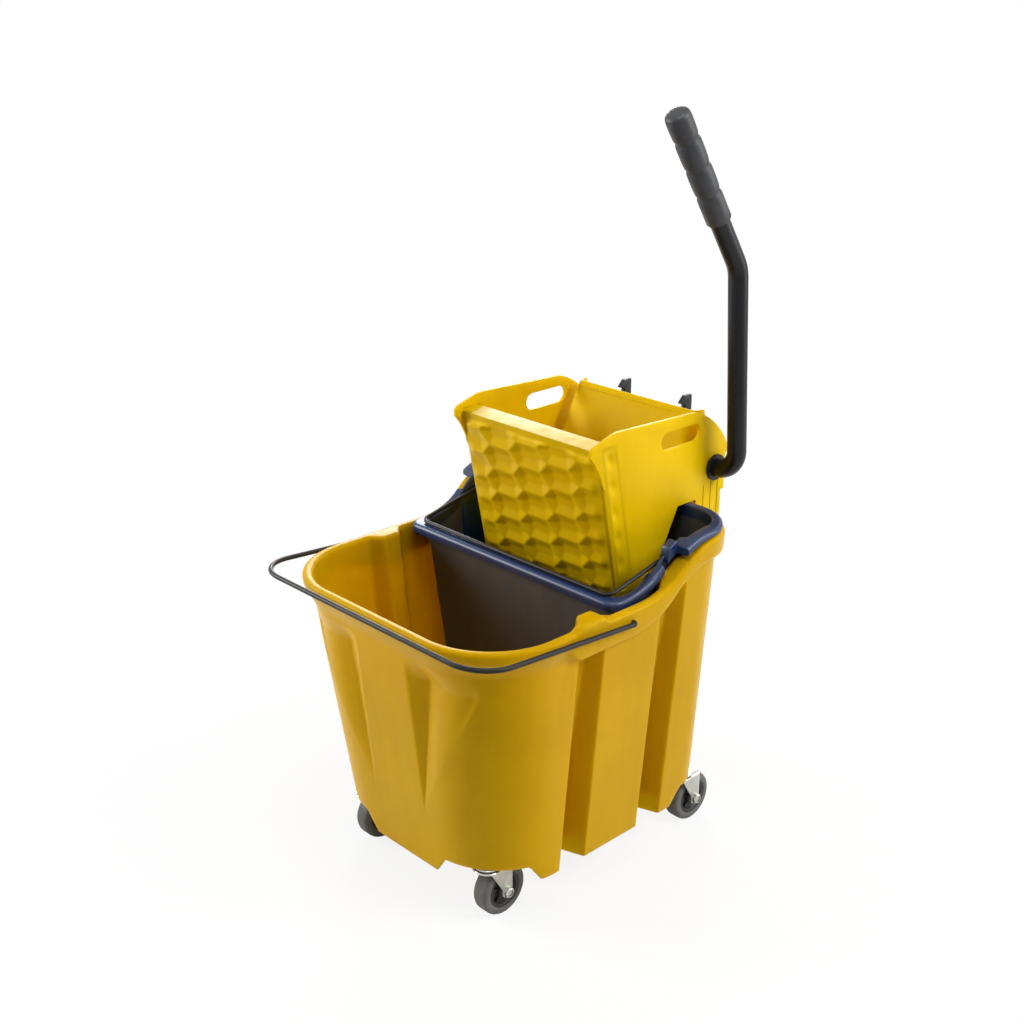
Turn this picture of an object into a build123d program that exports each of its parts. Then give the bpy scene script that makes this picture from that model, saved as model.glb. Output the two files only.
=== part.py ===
"""Mop bucket on casters with a lift-out pail and a side-press wringer.

Frame: origin on the floor under the middle of the object, +X across the width towards the
lever, +Y from the bail end towards the wringer end, +Z up.  All sizes are in millimetres.
"""
from build123d import *
import math
import os

# Bucket tub: outline at the foot of the skirt and at the top of the draft
TUB_WALL = 4.0
TUB_FOOT_Z = 50.0
TUB_FLOOR_Z = 78.0
TUB_FLOOR_THICK = 4.0
TUB_FOOT_HALF_WIDTH = 157.0
TUB_FOOT_FRONT = -186.0
TUB_FOOT_REAR = 178.0
TUB_FOOT_FRONT_RADIUS = 98.0
TUB_FOOT_REAR_RADIUS = 42.0
TUB_DRAFT_TOP_Z = 430.0
TUB_DRAFT_SIDE = 33.0
TUB_DRAFT_FRONT = 43.0
TUB_DRAFT_REAR = 2.0
TUB_TOP_FRONT_RADIUS = 95.0
TUB_TOP_REAR_RADIUS = 56.0

# Rim: a low front, a high rear, and an S between them made of two equal arcs
RIM_FRONT_Z = 379.5
RIM_REAR_Z = 429.0
RIM_RISE_START_Y = 12.0
RIM_RISE_END_Y = 145.0
RIM_FLANGE_OUT = 9.0
RIM_FLANGE_TALL_FRONT = 37.0
RIM_FLANGE_TALL_REAR = 27.0
RIM_FLANGE_LEAD = 16.0
RIM_TAB_START_Y = -88.0
RIM_TAB_LENGTH = 34.0
RIM_TAB_TALL = 7.0
RIM_TAB_RAMP = 8.0

# Side flutes: upright grooves that part each side into three panels
FLUTE_WIDTH = 42.0
FLUTE_FLOOR_WIDTH = 18.0
FLUTE_CENTRES_Y = (-61.0, 74.5)
FLUTE_FOOT_DEPTH = 37.0
FLUTE_TOP_DEPTH = 11.0
FLUTE_RIDGE_SHARE = 0.7

# Front flutes: wedges that fade to a point low on the front wall
WEDGE_INNER_X = 44.0
WEDGE_WIDTH = 54.0
WEDGE_DEEP_AT = 26.0
WEDGE_DEPTH = 14.0
WEDGE_TOP_Z = 332.0
WEDGE_POINT_Z = 135.0
WEDGE_POINT_DEPTH = 0.2

# Casters
WHEEL_RADIUS = 33.0
WHEEL_WIDTH = 22.0
HUB_RADIUS = 23.0
HUB_BOSS_RADIUS = 9.5
HUB_BOSS_PROUD = 1.0
HUB_WEB_RECESS = 6.0
HUB_WEB_DRAFT = 1.5
HUB_RIM_SETBACK = 1.0
TYRE_SHOULDER = 4.0
TYRE_BEAD = 1.0
CASTER_TRAIL = 18.0
CASTER_FRONT_INSET = 46.0
CASTER_FRONT_X = TUB_FOOT_HALF_WIDTH - CASTER_FRONT_INSET
CASTER_FRONT_Y = -156.0
CASTER_REAR_INSET = 23.0
CASTER_REAR_X = TUB_FOOT_HALF_WIDTH - CASTER_REAR_INSET
CASTER_REAR_Y = 161.0
AXLE_RADIUS = 4.0
AXLE_HEX = 12.0
AXLE_HEAD_THICK = 4.5
AXLE_NUT_THICK = 5.5
FORK_PLATE = 2.5
FORK_SIDE_GAP = 0.6
FORK_CROWN_RADIUS = 18.0
FORK_CROWN_GAP = 1.3
FORK_FOOT_RADIUS = 8.0
STEM_RADIUS = 5.5
STEM_LENGTH = 30.0
KINGPIN_RADIUS = 4.5
KINGPIN_HEAD_RADIUS = 6.0
KINGPIN_HEAD_THICK = 2.0
RACE_RADIUS = 17.0
RACE_RING_THICK = 2.2
RACE_NECK_RADIUS = 12.0
SOCKET_RADIUS = 10.0
SOCKET_CAP = 4.0
NOTCH_FRONT_RADIUS = 64.0
NOTCH_REAR_RADIUS = 50.0
NOTCH_RAMP = 14.0

# Bucket bail
BAIL_WIRE_RADIUS = 3.0
BAIL_PIVOT_Y = -7.0
BAIL_PIVOT_DROP = 15.5
BAIL_KEY_WIDTH = 4.0
BAIL_KEY_TALL = 9.0
BAIL_SIDE_GAP = 1.6
BAIL_REACH = 238.5
BAIL_TILT = 4.2
BAIL_CORNER_RADIUS = 46.0
BAIL_HOOK_RADIUS = 5.0
BAIL_END_INSIDE = 1.0

# Lift-out pail
PAIL_WALL = 3.0
PAIL_SOCKET_GAP = 3.0
PAIL_SEAT_GAP = 0.3
PAIL_FLUTE_GAP = 2.0
PAIL_SIDE_GAP = 9.0
PAIL_FOOT_HALF_WIDTH = TUB_FOOT_HALF_WIDTH - PAIL_SIDE_GAP
PAIL_FOOT_FRONT = 16.0
PAIL_FOOT_REAR = 158.0
PAIL_FRONT_RADIUS = 16.0
PAIL_REAR_RADIUS = 36.0
PAIL_DRAFT_TOP_Z = 450.0
PAIL_DRAFT_SIDE = 26.0
PAIL_DRAFT_FRONT = 32.0
PAIL_DRAFT_REAR = 9.0
PAIL_RIM_FRONT_Z = 385.0
PAIL_RIM_REAR_Z = 438.0
PAIL_RISE_START_Y = -2.0
PAIL_RISE_END_Y = 130.0
PAIL_RIM_OUT = 10.0
PAIL_RIM_FRONT_OUT = 15.0
PAIL_RIM_TALL = 12.0
PAIL_RIM_REAR_INSET = 4.0
PAIL_RIM_END_Y = 62.0
PAIL_RIM_REAR_START_Y = 84.0
PAIL_SWELL = 8.0
PAIL_SWELL_START_Y = 98.0
PAIL_LUG_START_Y = 69.0
PAIL_LUG_END_Y = 85.0
PAIL_LUG_TALL = 10.0
PAIL_LUG_REAR_TALL = 6.0
PAIL_LUG_ROOT = 8.0
PAIL_LUG_OUT = 7.0
PAIL_LUG_THICK = 12.0
PAIL_BAIL_RADIUS = 2.5
PAIL_BAIL_PIVOT_Y = 92.0
PAIL_BAIL_PIVOT_DROP = 19.0
PAIL_BAIL_REACH = 108.0
PAIL_BAIL_CORNER = 10.0
PAIL_BAIL_HOOK = 5.0
PAIL_BAIL_END = 3.0
PAIL_BAIL_GAP = 0.4

# Wringer basket
BASKET_WALL = 4.0
BASKET_HALF_WIDTH = 116.0
BASKET_FOOT_Z = 350.0
BASKET_FRONT_FOOT_Y = 51.0
BASKET_FRONT_LEAN = 0.2
BASKET_FRONT_TOP_Z = 540.0
BASKET_LIP_DEPTH = 18.0
BASKET_LIP_SLOPE = 5.0
BASKET_EAR_TIP = (1.0, 546.0)
BASKET_EAR_EDGE = 10.0
BASKET_EAR_FOOT_Z = 505.0
BASKET_EAR_TOP = (43.0, 558.0)
BASKET_EAR_SWEEP = 2.0
BASKET_PEAK = (184.0, 552.0)
BASKET_HOOK_TIP = (251.0, 494.0)
BASKET_HOOK_PROUD = 5.0
BASKET_ROUND_SHARE = (0.66, 0.55)
BASKET_NOTCH_DEPTH = 5.0
BASKET_NOTCH_DROP = 8.0
BASKET_NOTCH_FOOT = 13.0
BASKET_REAR_STEP_Z = 440.0
BASKET_REAR_STEP = 6.0
BASKET_REAR_FOOT_Z = 405.0
BASKET_SADDLE_GAP = 0.4
BASKET_RIM_GAP = 3.0
BASKET_BEND_SHARE = 0.25
HAND_SLOT_LENGTH = 71.0
HAND_SLOT_TALL = 22.0
HAND_SLOT_CENTRE = (158.0, 527.0)
DRAIN_RADIUS = 4.0
DRAIN_PITCH = 24.0
DRAIN_COUNT = 8
QUILT_PITCH_X = 50.0
QUILT_PITCH_Z = 33.0
QUILT_FLAT = 21.5
QUILT_GROOVE = 1.5
QUILT_PROUD = 4.5
QUILT_CREST_WIDTH = 0.1
QUILT_CREST_TALL = 0.5
QUILT_COLUMNS = 5
QUILT_ROWS = 6

# Press plate, hinged near its foot
PLATE_THICK = 4.0
PLATE_SIDE_GAP = 3.5
PLATE_INSET = 7.5
PLATE_HINGE = (104.0, 358.0)
PLATE_LEAN = 28.6
PLATE_LENGTH = 212.0
PLATE_FLANGE_OVER = 12.0
PLATE_FLANGE_DEPTH = 17.0
PLATE_RIB_DEPTH = 23.0
PLATE_CORNER_RADIUS = 12.0
PLATE_FLANGE_START = 122.0
PLATE_FLANGE_FULL = 156.0
PLATE_RIB_THICK = 6.0
PLATE_PIN_RADIUS = 4.0
PLATE_KNUCKLE_RADIUS = 7.0
PLATE_REAR_GAP = 1.6
PIN_HEAD_RADIUS = 8.0
PIN_HEAD_THICK = 2.5

# Lever, with its cross-shaft in one bent tube
SHAFT_Y = 226.0
SHAFT_Z = 473.0
LEVER_TUBE_RADIUS = 11.75
LEVER_TUBE_WALL = 2.0
LEVER_STANDOFF = 34.0
LEVER_X = BASKET_HALF_WIDTH + LEVER_STANDOFF
LEVER_BEND = (206.0, 728.0)
LEVER_TOP = (84.0, 910.0)
LEVER_ELBOW_RADIUS = 30.0
LEVER_BEND_RADIUS = 45.0
LEVER_SHAFT_PAST = 4.0
GRIP_RADIUS = 14.8
GRIP_LENGTH = 146.0
GRIP_GROOVES = 3
GRIP_GROOVE_WIDTH = 4.0
GRIP_GROOVE_DEPTH = 1.4
GRIP_END = 5.0
BUSH_RADIUS = 14.2
BUSH_FLANGE_RADIUS = 16.5
BUSH_FLANGE_THICK = 3.0
SHAFT_CAP_THICK = 3.0
ARM_X = 51.0
ARM_THICK = 7.0
ARM_HUB_RADIUS = 16.5
ARM_TIP = (20.0, 66.0)
ARM_TIP_RADIUS = 6.0
ARM_BEAK = 9.0
ARM_PIN_RADIUS = 2.5

# Shared clearances
RUNNING_FIT = 0.06
SEAT_FIT = 0.03
CUT_PAST = 1.0

FULL = 1000.0
UP = (Align.CENTER, Align.CENTER, Align.MIN)
DOWN = (Align.CENTER, Align.CENTER, Align.MAX)


def rounded_outline(z, half_width, front, rear, front_radius, rear_radius):
    """Closed wire: a rectangle across X with its own corner radius at the front and rear."""
    left_front = (-half_width, front + front_radius)
    right_front = (half_width, front + front_radius)
    left_rear = (-half_width, rear - rear_radius)
    right_rear = (half_width, rear - rear_radius)
    bow = 1 - math.sqrt(0.5)

    def corner(sign, y_edge, radius, towards_rear):
        side = (sign * half_width, y_edge - radius if towards_rear else y_edge + radius)
        end = (sign * (half_width - radius), y_edge)
        turn = -radius * bow if towards_rear else radius * bow
        middle = (sign * (half_width - radius * bow), y_edge + turn)
        return side, middle, end

    side_r, middle_r, end_r = corner(1, front, front_radius, False)
    side_l, middle_l, end_l = corner(-1, front, front_radius, False)
    back_side_r, back_middle_r, back_end_r = corner(1, rear, rear_radius, True)
    back_side_l, back_middle_l, back_end_l = corner(-1, rear, rear_radius, True)
    edges = [
        Line(end_l, end_r),
        ThreePointArc(end_r, middle_r, side_r),
        Line(right_front, right_rear),
        ThreePointArc(back_side_r, back_middle_r, back_end_r),
        Line(back_end_r, back_end_l),
        ThreePointArc(back_end_l, back_middle_l, back_side_l),
        Line(left_rear, left_front),
        ThreePointArc(side_l, middle_l, end_l),
    ]
    return Wire(edges).moved(Location((0, 0, z)))


def tub_outline(z, grow=0.0):
    """Outer outline of the tub's wall at height z, moved out by grow."""
    share = (z - TUB_FOOT_Z) / (TUB_DRAFT_TOP_Z - TUB_FOOT_Z)
    front_radius = TUB_FOOT_FRONT_RADIUS + share * (TUB_TOP_FRONT_RADIUS - TUB_FOOT_FRONT_RADIUS)
    rear_radius = TUB_FOOT_REAR_RADIUS + share * (TUB_TOP_REAR_RADIUS - TUB_FOOT_REAR_RADIUS)
    return rounded_outline(
        z,
        TUB_FOOT_HALF_WIDTH + share * TUB_DRAFT_SIDE + grow,
        TUB_FOOT_FRONT - share * TUB_DRAFT_FRONT - grow,
        TUB_FOOT_REAR + share * TUB_DRAFT_REAR + grow,
        front_radius + grow,
        rear_radius + grow,
    )


def tub_half_width(z):
    """Half the tub's outer width at height z, without the rim flange."""
    return TUB_FOOT_HALF_WIDTH + (z - TUB_FOOT_Z) / (TUB_DRAFT_TOP_Z - TUB_FOOT_Z) * TUB_DRAFT_SIDE


def tub_front(z):
    """The tub's front wall at height z."""
    return TUB_FOOT_FRONT - (z - TUB_FOOT_Z) / (TUB_DRAFT_TOP_Z - TUB_FOOT_Z) * TUB_DRAFT_FRONT


def pail_outline(z, grow=0.0, front_grow=None):
    """Outer outline of the pail's wall at height z, moved out by grow, or by front_grow at its front."""
    share = (z - pail_foot_z()) / (PAIL_DRAFT_TOP_Z - pail_foot_z())
    forward = grow if front_grow is None else front_grow
    return rounded_outline(
        z,
        PAIL_FOOT_HALF_WIDTH + share * PAIL_DRAFT_SIDE + grow,
        PAIL_FOOT_FRONT - share * PAIL_DRAFT_FRONT - forward,
        PAIL_FOOT_REAR + share * PAIL_DRAFT_REAR + grow,
        PAIL_FRONT_RADIUS + min(grow, 0.0),
        PAIL_REAR_RADIUS + grow,
    )


def pail_rim_outline(z, grow=0.0):
    """Outer outline of the pail's rolled rim at height z."""
    return pail_outline(z, PAIL_RIM_OUT + grow, PAIL_RIM_FRONT_OUT + grow)


def pail_foot_z():
    """The pail hangs by its rim, with its foot clear of the caster sockets."""
    return socket_top_z() + SOCKET_CAP + PAIL_SOCKET_GAP


def pail_half_width(z):
    """Half the pail's outer width at height z, without its rim."""
    return PAIL_FOOT_HALF_WIDTH + (z - pail_foot_z()) / (PAIL_DRAFT_TOP_Z - pail_foot_z()) * PAIL_DRAFT_SIDE


def drafted(outline, low, high, grow=0.0):
    """Solid with straight drafted sides between two heights."""
    return Solid.make_loft([outline(low, grow), outline(high, grow)], ruled=True)


def rise_height(y, start, end, low, high):
    """Height on an S of two equal tangent arcs that climbs from low to high."""
    if y <= start:
        return low
    if y >= end:
        return high
    half_run = (end - start) / 2
    half_rise = (high - low) / 2
    radius = (half_run ** 2 + half_rise ** 2) / (2 * half_rise)
    if y < start + half_run:
        return low + radius - math.sqrt(radius ** 2 - (y - start) ** 2)
    return high - radius + math.sqrt(radius ** 2 - (end - y) ** 2)


def under_rise(start, end, low, high, foot):
    """Block across the full width under an S-shaped top line."""
    middle = ((start + end) / 2, (low + high) / 2)
    early = (start + middle[0]) / 2
    late = (middle[0] + end) / 2
    points = [(-FULL, low), (start, low), middle, (end, high), (FULL, high), (FULL, foot), (-FULL, foot)]
    edges = [
        Line(points[0], points[1]),
        ThreePointArc(points[1], (early, rise_height(early, start, end, low, high)), points[2]),
        ThreePointArc(points[2], (late, rise_height(late, start, end, low, high)), points[3]),
        Line(points[3], points[4]),
        Line(points[4], points[5]),
        Line(points[5], points[6]),
        Line(points[6], points[0]),
    ]
    face = Plane.YZ * make_face(edges)
    return extrude(face, amount=FULL, both=True)


def side_plate(edges, x_low, x_high):
    """Flat plate whose outline is drawn in Y and Z, between two X values."""
    face = Plane.YZ * make_face(edges)
    return Pos(x_low, 0, 0) * extrude(face, amount=x_high - x_low)


def bar_x(y, z, radius, x_low, x_high):
    """Round bar along X."""
    middle = Pos((x_low + x_high) / 2, y, z) * Rot(0, 90, 0)
    return middle * Cylinder(radius, x_high - x_low)


def polygon_edges(points):
    """Closed run of straight edges."""
    return [Line(a, b) for a, b in zip(points, points[1:] + points[:1])]


def mirrored(shape):
    """The same shape on the other side of the middle plane."""
    return mirror(shape, about=Plane.YZ)


def caster_places():
    """Swivel axis of each caster, by name."""
    return {
        "front_right": (CASTER_FRONT_X, CASTER_FRONT_Y),
        "front_left": (-CASTER_FRONT_X, CASTER_FRONT_Y),
        "rear_right": (CASTER_REAR_X, CASTER_REAR_Y),
        "rear_left": (-CASTER_REAR_X, CASTER_REAR_Y),
    }


def socket_foot_z():
    """The caster's top race bears on the underside of the tub's floor."""
    return TUB_FLOOR_Z - TUB_FLOOR_THICK


def socket_top_z():
    """Blind end of the caster socket."""
    return socket_foot_z() + STEM_LENGTH + CUT_PAST


def rim_line(down=0.0):
    """S of the tub's rim: where it starts and ends to rise, and its low and high level."""
    return RIM_RISE_START_Y, RIM_RISE_END_Y, RIM_FRONT_Z - down, RIM_REAR_Z - down


def flange_line():
    """S of the rim flange's lower edge, which starts to rise before the rim does."""
    start, end, low, high = rim_line()
    return (
        start - RIM_FLANGE_LEAD,
        end - RIM_FLANGE_LEAD / 2,
        low - RIM_FLANGE_TALL_FRONT,
        high - RIM_FLANGE_TALL_REAR,
    )


def flute_cutter(y, grow=0.0):
    """Tapered groove over the full height of the +X side; grow makes the ridge that it leaves inside."""
    foot = TUB_FOOT_Z - CUT_PAST
    top = TUB_DRAFT_TOP_Z
    sections = []
    for z, depth in ((foot, FLUTE_FOOT_DEPTH), (top, FLUTE_TOP_DEPTH)):
        wall = tub_half_width(z)
        inner = wall - depth - grow
        outer = wall + RIM_FLANGE_OUT
        slope = (FLUTE_WIDTH - FLUTE_FLOOR_WIDTH) / 2 / depth
        flare = FLUTE_WIDTH / 2 + grow + slope * RIM_FLANGE_OUT
        floor = FLUTE_FLOOR_WIDTH / 2 + grow * FLUTE_RIDGE_SHARE
        points = [(outer, y - flare), (inner, y - floor), (inner, y + floor), (outer, y + flare)]
        sections.append(Wire(polygon_edges(points)).moved(Location((0, 0, z))))
    return Solid.make_loft(sections, ruled=True)


def wedge_cutter(grow=0.0):
    """Front flute on the +X side: a three-sided wedge that runs out to a point below."""
    front = tub_front(WEDGE_TOP_Z)
    top_z = WEDGE_TOP_Z + grow
    past = RIM_FLANGE_OUT
    lean = WEDGE_DEPTH / WEDGE_DEEP_AT
    low = (WEDGE_INNER_X + WEDGE_DEEP_AT / 6, tub_front(WEDGE_POINT_Z), WEDGE_POINT_Z - grow * 2)
    top = [
        (WEDGE_INNER_X - past / lean - grow, front - past, top_z),
        (WEDGE_INNER_X + WEDGE_DEEP_AT, front + WEDGE_DEPTH + grow, top_z),
        (WEDGE_INNER_X + WEDGE_WIDTH + past + grow, front - past, top_z),
    ]
    base = [
        (low[0] - past / lean / 2 - grow, low[1] - past, low[2]),
        (low[0], low[1] + WEDGE_POINT_DEPTH + grow, low[2]),
        (low[0] + past + grow, low[1] - past, low[2]),
    ]
    sections = [Polyline(*corners, close=True).wire() for corners in (base, top)]
    return Solid.make_loft(sections, ruled=True)


def tub_hollow(low, high):
    """Space inside the tub's wall between two heights, clear of the flutes' ridges."""
    space = drafted(tub_outline, low, high, -TUB_WALL)
    for y in FLUTE_CENTRES_Y:
        ridge = flute_cutter(y, TUB_WALL)
        space = space - ridge - mirrored(ridge)
    wedge = wedge_cutter(TUB_WALL)
    return space - wedge - mirrored(wedge)


def make_tub():
    """One moulding: wall, floor, hanging skirt, fluted sides, rim flange and caster sockets."""
    over = TUB_DRAFT_TOP_Z + RIM_TAB_TALL
    block = drafted(tub_outline, TUB_FOOT_Z, over)
    below_flange = under_rise(*flange_line(), foot=0)
    for y in FLUTE_CENTRES_Y:
        groove = flute_cutter(y) & below_flange
        block = block - groove - mirrored(groove)
    wedge = wedge_cutter()
    block = block - wedge - mirrored(wedge)

    below_rim = under_rise(*rim_line(), foot=0)
    flange = drafted(tub_outline, TUB_FOOT_Z, over, RIM_FLANGE_OUT) & below_rim
    tub = (block & below_rim) + (flange - below_flange)

    tab_foot = RIM_FRONT_Z - RIM_TAB_TALL
    tab_top = RIM_FRONT_Z + RIM_TAB_TALL
    tab_end = RIM_TAB_START_Y + RIM_TAB_LENGTH
    tab = side_plate(
        polygon_edges([
            (RIM_TAB_START_Y - RIM_TAB_RAMP, tab_foot),
            (RIM_TAB_START_Y - RIM_TAB_RAMP, RIM_FRONT_Z),
            (RIM_TAB_START_Y, tab_top),
            (tab_end, tab_top),
            (tab_end + RIM_TAB_RAMP, RIM_FRONT_Z),
            (tab_end + RIM_TAB_RAMP, tab_foot),
        ]),
        tub_half_width(RIM_FRONT_Z) - TUB_WALL,
        tub_half_width(RIM_FRONT_Z) + RIM_FLANGE_OUT / 2,
    )
    tub = tub + tab

    tub = tub - tub_hollow(TUB_FLOOR_Z, over + CUT_PAST)
    tub = tub - tub_hollow(TUB_FOOT_Z - CUT_PAST, TUB_FLOOR_Z - TUB_FLOOR_THICK)
    inner_wall = tub_half_width(TUB_FOOT_Z) - FLUTE_FOOT_DEPTH + CUT_PAST
    under_tall = socket_foot_z() - TUB_FOOT_Z + CUT_PAST
    under_length = CASTER_REAR_Y - CASTER_FRONT_Y
    under_middle = (CASTER_REAR_Y + CASTER_FRONT_Y) / 2
    under = Box(2 * inner_wall, under_length, under_tall, align=DOWN)
    tub = tub - Pos(0, under_middle, socket_foot_z()) * under

    for name, (x, y) in caster_places().items():
        foot = socket_foot_z()
        socket = Cylinder(SOCKET_RADIUS, socket_top_z() + SOCKET_CAP - foot, align=UP)
        tub = tub + Pos(x, y, foot) * socket
        bore = Cylinder(STEM_RADIUS + SEAT_FIT, socket_top_z() - foot, align=UP)
        tub = tub - Pos(x, y, foot) * bore
        wide = NOTCH_FRONT_RADIUS if name.startswith("front") else NOTCH_REAR_RADIUS
        notch_tall = foot - TUB_FOOT_Z + CUT_PAST
        notch = Cone(wide, wide - NOTCH_RAMP, notch_tall, align=UP)
        tub = tub - Pos(x, y, TUB_FOOT_Z - CUT_PAST) * notch

    reach = tub_half_width(RIM_FRONT_Z) + 2 * RIM_FLANGE_OUT
    tub = tub - bar_x(BAIL_PIVOT_Y, bail_pivot_z(), BAIL_WIRE_RADIUS + RUNNING_FIT, -reach, reach)
    key_z = bail_pivot_z() - BAIL_WIRE_RADIUS - BAIL_KEY_TALL
    key = Pos(tub_half_width(key_z) + RIM_FLANGE_OUT, BAIL_PIVOT_Y, key_z) * Box(
        RIM_FLANGE_OUT, BAIL_KEY_WIDTH, BAIL_KEY_TALL
    )
    return tub - key - mirrored(key)


def bail_pivot_z():
    """The bail's bent ends turn in holes through the rim flange."""
    return RIM_FRONT_Z - BAIL_PIVOT_DROP


def wire_bail(pivot_y, pivot_z, radius, half_width, inner_half_width, reach, tilt, corner, hook):
    """Wire bail: bent ends on one line, two legs and a front bar in a tilted plane."""
    angle = math.radians(tilt)
    plane = Plane(
        origin=(0, pivot_y, pivot_z),
        x_dir=(1, 0, 0),
        z_dir=(0, math.sin(angle), math.cos(angle)),
    )
    path = FilletPolyline(
        (inner_half_width, 0),
        (half_width, 0),
        (half_width, -reach),
        (-half_width, -reach),
        (-half_width, 0),
        (-inner_half_width, 0),
        radius=[hook, corner, corner, hook],
    )
    path = plane * path
    start = Plane(origin=path @ 0, z_dir=path % 0)
    return sweep(start * Circle(radius), path=path)


def make_bucket_bail():
    flange_face = tub_half_width(RIM_FRONT_Z) + RIM_FLANGE_OUT
    return wire_bail(
        BAIL_PIVOT_Y,
        bail_pivot_z(),
        BAIL_WIRE_RADIUS,
        flange_face + BAIL_SIDE_GAP + BAIL_WIRE_RADIUS,
        tub_half_width(bail_pivot_z()) - TUB_WALL - BAIL_END_INSIDE,
        BAIL_REACH,
        BAIL_TILT,
        BAIL_CORNER_RADIUS,
        BAIL_HOOK_RADIUS,
    )


def pail_rim_z(y):
    """Top of the pail's rim at a place along the length."""
    return rise_height(y, PAIL_RISE_START_Y, PAIL_RISE_END_Y, PAIL_RIM_FRONT_Z, PAIL_RIM_REAR_Z)


def pail_pivot_z():
    """Height of the holes that the pail bail's bent ends turn in."""
    return pail_rim_z(PAIL_BAIL_PIVOT_Y) - PAIL_BAIL_PIVOT_DROP


def behind(y):
    """Everything behind a place along the length, as a block to cut with."""
    return Pos(0, y + FULL / 2, 0) * Box(2 * FULL, FULL, 2 * FULL)


def fluted_pail(low, high, grow=0.0):
    """Drafted body of the pail: wider behind the tub's rear flutes, and drawn in round them."""
    body = drafted(pail_outline, low, high, grow)
    body = body + (drafted(pail_outline, low, high, grow + PAIL_SWELL) & behind(PAIL_SWELL_START_Y - grow))
    flute = flute_cutter(FLUTE_CENTRES_Y[1], TUB_WALL + PAIL_FLUTE_GAP - grow)
    return body - flute - mirrored(flute)


def pail_lug():
    """Block on the right wall's rim, with a top that slopes along the rim's rise."""
    front_z = pail_rim_z(PAIL_LUG_START_Y)
    rear_z = pail_rim_z(PAIL_LUG_END_Y)
    outline = polygon_edges([
        (PAIL_LUG_START_Y, front_z - PAIL_LUG_ROOT),
        (PAIL_LUG_END_Y, rear_z - PAIL_LUG_ROOT),
        (PAIL_LUG_END_Y, rear_z + PAIL_LUG_REAR_TALL),
        (PAIL_LUG_START_Y, front_z + PAIL_LUG_TALL),
    ])
    outer = pail_half_width(front_z) + PAIL_LUG_OUT
    return side_plate(outline, outer - PAIL_LUG_THICK, outer)


def make_pail():
    """Drafted pail whose rim lies inside the tub at its front and on the tub's rim at its rear."""
    over = PAIL_DRAFT_TOP_Z + PAIL_RIM_TALL
    line = (PAIL_RISE_START_Y, PAIL_RISE_END_Y)
    below_rim = under_rise(*line, PAIL_RIM_FRONT_Z, PAIL_RIM_REAR_Z, foot=0)
    seat_z = RIM_REAR_Z + PAIL_SEAT_GAP
    below_band = under_rise(*line, PAIL_RIM_FRONT_Z - PAIL_RIM_TALL, seat_z, foot=0)
    front_rim = drafted(pail_rim_outline, pail_foot_z(), over) - behind(PAIL_RIM_END_Y)
    rear_rim = drafted(tub_outline, pail_foot_z(), over, RIM_FLANGE_OUT - PAIL_RIM_REAR_INSET)
    rear_rim = rear_rim & behind(PAIL_RIM_REAR_START_Y)
    pail = fluted_pail(pail_foot_z(), over) & below_rim
    pail = pail + ((front_rim & below_rim) - below_band) + ((rear_rim & below_rim) - below_band)
    pail = pail - fluted_pail(pail_foot_z() + PAIL_WALL, over + CUT_PAST, -PAIL_WALL)
    pail = pail + pail_lug()
    bore = bar_x(PAIL_BAIL_PIVOT_Y, pail_pivot_z(), PAIL_BAIL_RADIUS + RUNNING_FIT, -FULL, FULL)
    return pail - bore


def make_pail_bail():
    pivot_z = pail_pivot_z()
    rest_z = PAIL_RIM_FRONT_Z + PAIL_BAIL_RADIUS + PAIL_BAIL_GAP
    tilt = -math.degrees(math.asin((pivot_z - rest_z) / PAIL_BAIL_REACH))
    wall_inside = pail_half_width(pivot_z - PAIL_BAIL_RADIUS) - PAIL_WALL
    return wire_bail(
        PAIL_BAIL_PIVOT_Y,
        pivot_z,
        PAIL_BAIL_RADIUS,
        wall_inside - PAIL_BAIL_HOOK - PAIL_BAIL_GAP,
        pail_half_width(pivot_z) + PAIL_BAIL_END,
        PAIL_BAIL_REACH,
        tilt,
        PAIL_BAIL_CORNER,
        PAIL_BAIL_HOOK,
    )


def basket_front(z):
    """Outer face of the basket's front wall, which leans out towards its top."""
    return BASKET_FRONT_FOOT_Y - BASKET_FRONT_LEAN * (z - BASKET_FOOT_Z)


def on_plate(along, behind):
    """Point in Y and Z at a distance along the press plate and behind its hinge line."""
    lean = math.radians(PLATE_LEAN)
    y = PLATE_HINGE[0] + along * math.sin(lean) + behind * math.cos(lean)
    z = PLATE_HINGE[1] + along * math.cos(lean) - behind * math.sin(lean)
    return y, z


def saddle_z():
    """Underside of the saddle that hangs the basket over the pail's and the tub's rear rims."""
    return PAIL_RIM_REAR_Z + BASKET_SADDLE_GAP


def saddle_front_y():
    """Where the basket's rear wall meets the saddle."""
    behind = PLATE_THICK / 2 + PLATE_REAR_GAP
    along = (saddle_z() + BASKET_WALL - on_plate(0, behind)[1]) / math.cos(math.radians(PLATE_LEAN))
    return on_plate(along, behind)[0]


def rim_outer_y():
    """Outer face of the tub's rear rim flange."""
    return TUB_FOOT_REAR + TUB_DRAFT_REAR + RIM_FLANGE_OUT


def basket_rear_y():
    """Rear edge of the basket's side walls above the step."""
    return BASKET_HOOK_TIP[0] - BASKET_HOOK_PROUD


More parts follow.
